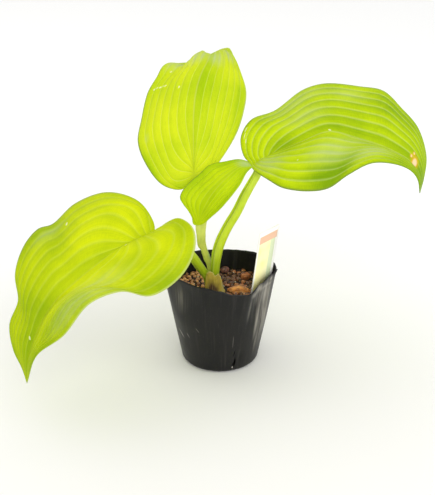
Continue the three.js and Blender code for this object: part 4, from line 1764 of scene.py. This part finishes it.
@dataclass
class PottingMix:
    """Dark mix filled to well below the rim, with granules, bark crumbs and pale specks on top.

    CARD_SHOWS is how much of the card stands above the mix, and CARD_ROOM how far grains keep off it.
    The granules gather where x is below RED_FROM, and thin out over RED_FADE.
    """

    CARD_SHOWS = 55.5
    CARD_ROOM = 0.8
    RED_FROM = -6.0
    RED_FADE = 10.0

    pot: Pot
    crown: Crown
    card: Card
    chips: Sequence[Chip]
    level: float = 59.4
    inset: float = 1.2
    foot_gap: float = 0.3
    rings: int = 44
    columns: int = 144

    def top(self, x: Array, y: Array) -> Array:
        """Say how high the uneven top is.

        Args:
            x: Places along x.
            y: Places along y.

        Returns:
            The height at each place.
        """
        broad = 0.7 * np.sin(0.16 * x + 1.1) * np.cos(0.13 * y - 0.4)
        lumps = 0.5 * np.sin(0.52 * x + 0.31 * y) + 0.4 * np.cos(0.43 * x - 0.61 * y + 2)
        crumbs = 0.22 * np.sin(1.9 * x + 0.7 * y) * np.cos(1.3 * y - 0.8 * x)
        return self.level + broad + lumps + (crumbs + 0.15 * np.sin(3.1 * x - 2.3 * y))

    def top_rows(self, outer: float) -> Array:
        """Lay rings over the top, from the wall to the middle.

        Args:
            outer: How far the first ring keeps off the edge of the mix.

        Returns:
            The rings as rows by columns by 3.
        """
        turn = circle(self.columns)
        edge = self.pot.radius(turn, self.level, fine=False) - self.inset - outer
        rows = []
        for share in np.linspace(1, 0.02, self.rings):
            ring = Pot.ring(turn, edge * share, 0.0)
            ring[:, 2] = self.top(ring[:, 0], ring[:, 1])
            rows.append(ring)
        return np.array(rows)

    def body(self) -> Piece:
        """Make the body of the mix.

        Returns:
            The body.
        """
        turn = circle(self.columns)
        foot = self.pot.floor + self.foot_gap
        low = self.pot.radius(turn, self.pot.foot_round, fine=False)
        outer = low - self.pot.foot_round - self.foot_gap
        rows = [Pot.ring(turn, radius, foot) for radius in (1.0, outer)]
        for level in np.linspace(self.pot.foot_round, self.level - 3, 14):
            radius = self.pot.radius(turn, level, fine=False)
            rows.append(Pot.ring(turn, radius - self.inset, level))
        rows += list(self.top_rows(0.0))
        tones = (tint(20, 14, 10), tint(56, 37, 26), tint(96, 66, 46))
        finish = GroundFinish("dark_mix", *tones, scale=260.0, depth=1.0)
        piece = closed_grid(np.array(rows)).piece("potting_mix_body", [finish.material()])
        return dress(piece, Slot.MIX, "soil")

    def clear(self, points: Array, room: float) -> Array:
        """Share of the full density that keeps grains off the crown, the card and the chips.

        Args:
            points: Places on the top.
            room: Room to leave around them.

        Returns:
            1 where grains may lie and 0 where they may not.
        """
        x, y = points[:, 0], points[:, 1]
        off_crown = np.hypot(x - self.crown.x, y - self.crown.y)
        free = (off_crown > self.crown.keep_off + room).astype(float)
        across = unit(np.array(self.card.across))
        start = np.array(self.card.top_left) - unit(np.array(self.card.up)) * self.CARD_SHOWS
        along = (x - start[0]) * across[0] + (y - start[1]) * across[1]
        off = np.abs((x - start[0]) * across[1] - (y - start[1]) * across[0])
        beside = (along > -room) & (along < self.card.width + room)
        free[beside & (off < self.CARD_ROOM + room)] = 0
        for chip in self.chips:
            turn = math.radians(chip.turn)
            dx, dy = x - chip.centre[0], y - chip.centre[1]
            own_x = (dx * math.cos(turn) + dy * math.sin(turn)) / (chip.half[0] + room * 0.4)
            own_y = (dy * math.cos(turn) - dx * math.sin(turn)) / (chip.half[1] + room * 0.4)
            free[np.hypot(own_x, own_y) < 1] = 0
        return free

    def build(self) -> list[Piece]:
        """Make the mix and everything strewn on it.

        Returns:
            The pieces, the body first.
        """
        pieces = [self.body()]
        patch = grid_shell(self.top_rows(2.0), around=True)
        red = smooth((self.RED_FROM - patch.points[:, 0]) / self.RED_FADE) * 0.95 + 0.05
        crumbs = Scatter(
            "bark_crumbs", 4.2, (4.0, 2.8, 2.2), (9.0, 6.0, 4.4), 2.0, 11,
            GroundFinish(
                "dark_bark_crumbs", tint(10, 7, 5), tint(190, 122, 76), tint(244, 216, 180),
                scale=420.0, rough=0.22, depth=0.25, toned=True, dark_share=0.58,
            ),
        )
        granules = Scatter(
            "red_granules", 4.1, (3.0, 2.8, 2.6), (5.0, 4.4, 4.0), 0.8, 5,
            GroundFinish(
                "reddish_granules", tint(100, 50, 30), tint(250, 184, 126), tint(255, 232, 196),
                scale=420.0, rough=0.3, depth=0.15, toned=True,
            ),
        )
        grit = Scatter(
            "pale_grit", 5.5, (1.0, 0.9, 0.8), (2.6, 1.9, 1.5), 0.3, 23,
            GroundFinish(
                "pale_specks", tint(176, 158, 128), tint(226, 216, 192), tint(245, 240, 226),
                scale=700.0, rough=0.7, depth=0.1, toned=True,
            ),
        )
        # Each layer with its share of the full density and the room it leaves around what stands.
        layers = ((crumbs, 1 - 0.94 * red, 2.2), (granules, red, 1.2), (grit, 0.3, 0.8))
        for layer, share, room in layers:
            pieces.append(layer.build(patch, share * self.clear(patch.points, room)))
        return pieces


@dataclass(frozen=True)
class View:
    """Camera in the photograph's place, in millimetres and degrees."""

    place: Triple = (-2.0, -636.0, 367.0)
    tilt: float = 66.9
    focal: float = 64.0
    sensor: float = 36.0

    def build(self) -> None:
        """Make the camera and look through it."""
        camera = bpy.data.cameras.new("camera")
        camera.lens = self.focal
        camera.sensor_width = self.sensor
        camera.clip_start = 0.01
        camera.clip_end = 50.0
        holder = stand("camera", camera)
        holder.location = Vector(self.place) * MM
        holder.rotation_euler = (math.radians(self.tilt), 0.0, 0.0)
        bpy.context.scene.camera = holder


@dataclass(frozen=True)
class SoftLight:
    """Large soft lamp: place, aim and size in metres, strength and colour."""

    name: str
    place: Triple
    aim: Triple
    size: float
    watts: float
    colour: Triple = (1.0, 1.0, 1.0)

    def build(self) -> None:
        """Hang the lamp."""
        lamp = bpy.data.lights.new(self.name, "AREA")
        lamp.shape = "DISK"
        lamp.size = self.size
        lamp.energy = self.watts
        lamp.color = self.colour
        holder = stand(self.name, lamp)
        holder.location = self.place
        way = Vector(self.aim) - Vector(self.place)
        holder.rotation_euler = way.to_track_quat("-Z", "Y").to_euler()


@dataclass(frozen=True)
class Studio:
    """Plain pale floor under an even white sky, with a few large soft lamps. Lengths are metres."""

    floor_radius: float = 6.0
    floor_depth: float = 0.02
    floor_sides: int = 96
    sky: Triple = (1.0, 1.0, 0.995)
    sky_strength: float = 0.95
    lamps: tuple[SoftLight, ...] = (
        SoftLight("key", (-1.1, 0.7, 1.7), (0.0, 0.0, 0.12), 2.2, 4.4, (1.0, 0.985, 0.95)),
        SoftLight("fill", (0.2, -1.5, 0.9), (0.0, 0.0, 0.12), 1.2, 9.5, (1.0, 1.0, 0.985)),
        SoftLight("side", (1.5, -0.5, 0.9), (0.0, 0.0, 0.1), 0.9, 4.0, (0.97, 0.985, 1.0)),
    )

    def build(self) -> None:
        """Make the floor, the sky and the lamps."""
        turn = circle(self.floor_sides)
        levels = (-self.floor_depth / MM, 0.0)
        rings = [Pot.ring(turn, self.floor_radius / MM, level) for level in levels]
        floor = closed_grid(np.array(rings)).piece("floor", [FloorFinish().material()])
        floor.data.shade_flat()
        world = bpy.data.worlds.new("studio_sky")
        bpy.context.scene.world = world
        world.use_nodes = True
        sky = world.node_tree.nodes["Background"]
        sky.inputs["Color"].default_value = (*self.sky, 1.0)
        sky.inputs["Strength"].default_value = self.sky_strength
        for lamp in self.lamps:
            lamp.build()
        bpy.context.scene.view_settings.view_transform = "Standard"


SEAT = 57.0

LEFT_LEAF = LeafShape(
    name="leaf_left",
    veins=7,
    fan=Fan(0.2, 1.0, 0.15, 0.5),
    midrib=(
        (-48, -38, 123), (-68, -54, 121), (-93, -72, 108), (-115, -86, 91),
        (-129, -92, 69), (-136, -94, 48), (-139, -92, 29),
    ),
    left=(
        (-39, -42, 133), (-29, -50, 140), (-19, -60, 136), (-18, -68, 123), (-27, -76, 107),
        (-47, -90, 98), (-67, -104, 108), (-87, -112, 103), (-106, -112, 79), (-127, -104, 59),
    ),
    right=(
        (-50, -30, 130), (-63, -12, 140), (-86, -6, 144), (-109, -14, 138), (-125, -26, 126),
        (-134, -36, 126), (-143, -46, 117), (-148, -60, 101), (-145, -70, 85), (-151, -78, 69),
        (-148, -86, 53), (-142, -90, 40),
    ),
    arch_left=((0, 0), (0.1, -2), (0.3, 5), (0.5, 6), (0.75, 2), (1, 0)),
    arch_right=((0, 0), (0.25, 6), (0.6, 4), (1, 0)),
    upper=(0.6, 0.4, 0.7),
    depth=0.92,
    stalk=(
        (-9.2, -6.2, SEAT, 4.8), (-9.4, -6.2, 66, 5.4), (-10.9, -6.5, 74, 6.6), (-13, -7.1, 78, 7.4),
        (-15.3, -8.1, 82, 7.7), (-17.8, -9.8, 86.6, 7.8), (-21, -12.8, 93.2, 7.8), (-30, -21, 107, 7.2),
        (-40, -31, 117.5, 6.5),
    ),
)

RIGHT_LEAF = LeafShape(
    name="leaf_right",
    veins=7,
    fan=Fan(0.12, 0.95, 0.0, 0.1),
    midrib=(
        (23.3, 3, 161.6), (41, 3, 172), (60, 0, 181), (81, -6, 191), (100, -10, 187),
        (121, -14, 181), (139, -18, 172), (147, -20, 161), (148, -20, 148),
    ),
    left=(
        (23, 8, 162), (18, 13, 167), (16, 22, 179), (24, 32, 190), (43, 42, 195), (65, 48, 210),
        (82, 48, 215), (109, 42, 214), (126, 36, 212), (139, 26, 201), (150, 14, 189),
        (155, 0, 171), (152, -12, 158),
    ),
    right=(
        (25.8, -4, 160.4), (36, -16, 157), (46, -28, 155), (63, -38, 156), (77, -43, 160),
        (90, -46, 171), (105, -45, 179), (121, -38, 177), (137, -29, 169), (145, -23, 159),
    ),
    arch_left=((0, 0), (0.3, 5), (0.6, 5), (1, 0)),
    arch_right=((0, 0), (0.2, 5), (0.5, 5), (0.8, 2), (1, 0)),
    upper=(-0.8, -0.45, 0.3),
    depth=0.92,
    stalk=(
        (-2.2, -7, SEAT, 5), (-2.6, -7.2, 68, 6.6), (-4, -7.2, 77.2, 7.4), (-3.6, -7, 83.8, 7.8),
        (-2.2, -6.4, 94.6, 8.7), (0.4, -5.4, 103.5, 8.6), (6.1, -4, 115.5, 8.3), (12.7, -2.4, 126.6, 8.2),
        (18.6, -0.2, 138.7, 7.9), (24.6, 2, 149.3, 7.5), (28.1, 3.2, 155.3, 7.2),
    ),
)

BACK_LEAF = LeafShape(
    name="leaf_back",
    veins=7,
    fan=Fan(0.05, 0.9, 0.12, 0.35),
    midrib=(
        (-20, 0, 153), (-20.4, 12, 175), (-20.4, 26, 194.5), (-18.9, 38, 209), (-15, 52, 221),
        (-10.3, 64, 228), (-7, 82, 231.4), (-6, 104, 220), (-6, 120, 202),
    ),
    left=(
        (-29, -2, 145), (-44, 2, 147), (-57, 12, 160), (-64, 26, 174), (-62, 40, 188),
        (-57.3, 54, 206.6), (-50.7, 62, 216.8), (-45, 70, 225), (-36, 78, 224), (-26, 90, 222),
        (-16, 108, 212),
    ),
    right=(
        (-11, 2, 153), (1, 14, 164), (13, 30, 180), (19, 46, 194), (21, 60, 206),
        (16.5, 76, 219), (11.3, 90, 228.3), (6.4, 106, 231.5),
    ),
    arch_left=((0, 0), (0.4, 3), (0.62, 2), (1, 0)),
    arch_right=((0, 0), (0.4, 3), (0.7, 4.5), (1, 0)),
    upper=(0, -0.8, 0.6),
    depth=0.9,
    stalk=(
        (-2.8, -0.6, SEAT, 4.2), (-3.2, 0.4, 66, 4.6), (-4.2, 3.2, 72, 4.8), (-7, 3.8, 78, 5),
        (-12.4, 4.6, 91, 5.4), (-15.4, 3.4, 108, 5.6), (-18, 1.2, 129, 5.8), (-19.5, -0.8, 144, 6),
    ),
    swells=(Swell(Half.LEFT, 0.8, 0.12, 0.28, 0.16, 6.5), Swell(Half.LEFT, 0.74, 0.16, 0.62, 0.2, -8)),
)

YOUNG_LEAF = LeafShape(
    name="leaf_young",
    veins=5,
    fan=Fan(0.05, 0.95, 0.1, 0.3),
    midrib=(
        (-17.2, -16, 120.8), (-12.1, -17.5, 135.4), (-4, -20, 150), (6, -20, 161), (15, -17, 167),
        (24.2, -12, 165.9),
    ),
    left=(
        (-20.3, -15, 121.7), (-21.3, -14.4, 126.6), (-24, -13.8, 131.6), (-27.7, -13.3, 136.6),
        (-30.2, -12.8, 141.6), (-28.4, -12, 147), (-22, -10, 154), (-16, -9, 159), (-8, -8, 166),
        (4, -8, 169), (14, -9, 170.8), (21.4, -10.5, 168.9),
    ),
    right=(
        (-12.9, -17.6, 122.8), (-6.7, -19.5, 129), (-0.2, -23, 136.4), (5.1, -27, 144.2),
        (10, -28, 151), (15, -27, 158), (19, -22, 164),
    ),
    arch_left=((0, 0), (0.5, -4), (1, 0)),
    arch_right=((0, 0), (0.5, -3), (1, 0)),
    upper=(-0.5, 0.7, 0.5),
    depth=0.6,
    stalk=(
        (-7.8, -0.2, SEAT, 3.8), (-8, -0.6, 70, 4), (-8.7, -1.3, 82, 4.2), (-10.9, -2.8, 88, 4.5),
        (-12.4, -4.8, 96, 5), (-14.2, -7.2, 102, 7.1), (-14.6, -10, 110.5, 7.8), (-14.6, -10.8, 119, 9.4),
        (-13.4, -11.6, 125, 9.9), (-10.6, -13.4, 132, 8.2), (-8.4, -14.4, 138, 4.6),
    ),
    rib_below=0.5,
    rib=((0.35, 2.4), (0.5, 1.5), (0.65, 1.1), (0.8, 0.9)),
)


def leaves() -> list[Leaf]:
    """Put together the four leaves with their finishes.

    Returns:
        The leaves.
    """
    # Each blade's sheen marks are painted grazing reflections; its shade marks are painted shade, painted
    # light where the strength is below 0.
    dark_edge = tint(128, 158, 50)
    pale_edge = tint(216, 226, 140)
    return [
        Leaf(
            LEFT_LEAF,
            BladeFinish(
                "left_blade", tint(221, 230, 6), tint(158, 188, 0), tint(238, 244, 0), tint(178, 204, 0),
                fold_shade=(0.0, 0.3), edges=(pale_edge, dark_edge), vein=tint(228, 238, 100), line_strength=0.22,
                line_width=0.22, lane=0.14, rim_depth=0.3,
                painted_shades=marks(
                    (0.32, 0.62, 0.34, 0.32, 0.45), (0.93, 0.13, 0.12, 0.1, 0.45),
                    (0.05, 0.5, 0.09, 0.16, 0.3), (0.2, 0.42, 0.16, 0.14, 0.35),
                    (0.96, 0.34, 0.12, 0.14, 0.35), (0.13, 0.13, 0.12, 0.14, -0.35),
                    (0.78, 0.64, 0.18, 0.14, 0.55),
                ),
                nicks=marks(
                    (0.613, 0.034, 0.012, 0.007), (0.123, 0.376, 0.01, 0.006), (0.442, 0.731, 0.022, 0.009),
                ),
                painted_sheens=marks(
                    (0.86, 0.58, 0.2, 0.22, 0.5), (0.09, 0.46, 0.06, 0.1, 0.6),
                    (0.66, 0.4, 0.14, 0.22, 0.45),
                ),
            ),
            StalkFinish("left_stalk", tint(200, 222, 20), tint(205, 228, 40)),
        ),
        Leaf(
            RIGHT_LEAF,
            BladeFinish(
                "right_blade", tint(215, 231, 8), tint(142, 180, 0), tint(232, 244, 0), tint(160, 196, 0),
                fold_shade=(0.3, 0.1), edges=(dark_edge, dark_edge), vein=tint(220, 233, 136), line_strength=0.4,
                line_width=0.2, rim_depth=0.08, tip_depth=0.55, lane=0.3,
                painted_shades=marks(
                    (0.84, 0.66, 0.2, 0.16, 0.3), (0.07, 0.42, 0.14, 0.16, 0.5),
                    (0.62, 0.1, 0.14, 0.12, 0.3), (0.18, 0.48, 0.2, 0.14, 0.4),
                ),
                nicks=marks(
                    (0.967, 0.142, 0.006, 0.012), (0.932, 0.104, 0.006, 0.01), (0.515, 0.334, 0.008, 0.008),
                    (0.955, 0.12, 0.004, 0.014), (0.236, 0.254, 0.008, 0.005, 0.5),
                ),
                burns=marks(
                    (0.53, 0.822, 0.065, 0.019), (0.56, 0.79, 0.018, 0.007), (0.61, 0.8, 0.016, 0.006),
                ),
                painted_sheens=marks(
                    (0.24, 0.6, 0.2, 0.16, 0.85), (0.3, 0.4, 0.18, 0.16, 0.75),
                    (0.2, 0.08, 0.22, 0.14, 0.8), (0.4, 0.72, 0.1, 0.08, 0.6), (0.9, 0.33, 0.12, 0.16, 0.5),
                    (0.7, 0.3, 0.14, 0.14, 0.4), (0.86, 0.5, 0.1, 0.1, 0.5), (0.45, 0.5, 0.08, 0.16, 0.5),
                    (0.5, 1.0, 0.5, 0.06),
                ),
            ),
            StalkFinish("right_stalk", tint(208, 228, 14), tint(214, 230, 40)),
        ),
        Leaf(
            BACK_LEAF,
            BladeFinish(
                "back_blade", tint(224, 233, 36), tint(182, 211, 4), tint(238, 243, 26), tint(198, 222, 0),
                fold_shade=(0.1, 0.4), edges=(dark_edge, pale_edge), vein=tint(238, 244, 120), line_strength=0.42,
                line_width=0.09, lane=0.16, rim_depth=0.24,
                painted_shades=marks(
                    (0.36, 0.42, 0.3, 0.3, 0.32), (0.52, 0.5, 0.12, 0.3, 0.22),
                    (0.98, 0.2, 0.05, 0.16, 0.5), (0.32, 0.16, 0.14, 0.14, 0.3),
                    (0.9, 0.06, 0.08, 0.06, 0.4), (0.08, 0.44, 0.08, 0.14, 0.35),
                ),
                nicks=marks(
                    (0.93, 0.528, 0.013, 0.005), (0.9, 0.522, 0.012, 0.004), (0.87, 0.516, 0.012, 0.005),
                    (0.84, 0.51, 0.01, 0.004), (0.815, 0.502, 0.012, 0.005), (0.663, 0.434, 0.008, 0.008),
                    (0.874, 0.611, 0.01, 0.008, 0.7),
                ),
                painted_sheens=marks(
                    (0.86, 0.69, 0.2, 0.1), (0.62, 0.63, 0.16, 0.1), (0.4, 0.6, 0.16, 0.09),
                    (0.2, 0.66, 0.14, 0.08), (0.912, 0.309, 0.04, 0.03, 0.35),
                ),
            ),
            StalkFinish("back_stalk", tint(190, 220, 52), tint(200, 226, 60)),
        ),
        Leaf(
            YOUNG_LEAF,
            BladeFinish(
                "young_blade", tint(219, 234, 12), tint(162, 198, 0), tint(236, 246, 8), tint(182, 212, 0),
                fold_shade=(0.1, 0.15), edges=(dark_edge, pale_edge), vein=tint(222, 236, 100), line_strength=0.36,
                line_width=0.1, painted_sheen=tint(196, 212, 180), painted_sheens=marks((0.7, 0.91, 0.4, 0.13)),
            ),
            StalkFinish("young_stalk", tint(226, 232, 104), tint(232, 238, 120)),
            slot=Slot.YOUNG,
            rows=80,
            vein_columns=10,
        ),
    ]


def chips() -> list[Chip]:
    """Put together the three bark chips.

    Returns:
        The chips.
    """
    return [
        Chip(
            "bark_chip_front", (15, -3, 60.8), (8.6, 3.4, 2.3), -4, 1.7,
            BarkFinish("orange_bark", tint(150, 80, 30), tint(236, 158, 74), tint(255, 214, 144), -4),
            bow=(2.0, 0.7),
        ),
        Chip(
            "bark_chip_round", (21, 21, 61), (4.1, 3.6, 3.1), 20, 4.1,
            BarkFinish("brown_bark", tint(88, 46, 22), tint(172, 100, 50), tint(206, 140, 84), 20),
        ),
        Chip(
            "bark_chip_small", (4.3, 35, 60.6), (3.4, 3, 2.4), 50, 7.3,
            BarkFinish("pinkish_bark", tint(74, 44, 36), tint(142, 94, 80), tint(176, 128, 112), 50),
        ),
    ]


def paint_node(node: Piece, material: Material) -> None:
    """Give a solid that stays as it is its finish.

    Args:
        node: The solid.
        material: Its finish.
    """
    for slot in node.material_slots:
        slot.material = material
    LOG.info("%s painted", node.name)


def main() -> None:
    """Dress the solids of the plant, its pot and its label."""
    logging.basicConfig(level=logging.INFO, format="%(message)s")
    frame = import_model()
    View().build()
    Studio().build()
    pot = Pot()
    crown = Crown()
    card = Card()
    bark = chips()
    pot.build()
    paint_node(frame["nodes"]["crown"], crown.material())
    BudScale(crown).build()
    for leaf in leaves():
        leaf.build()
    card.build()
    for chip in bark:
        chip.build()
    PottingMix(pot, crown, card, bark).build()


if __name__ == "__main__":
    main()
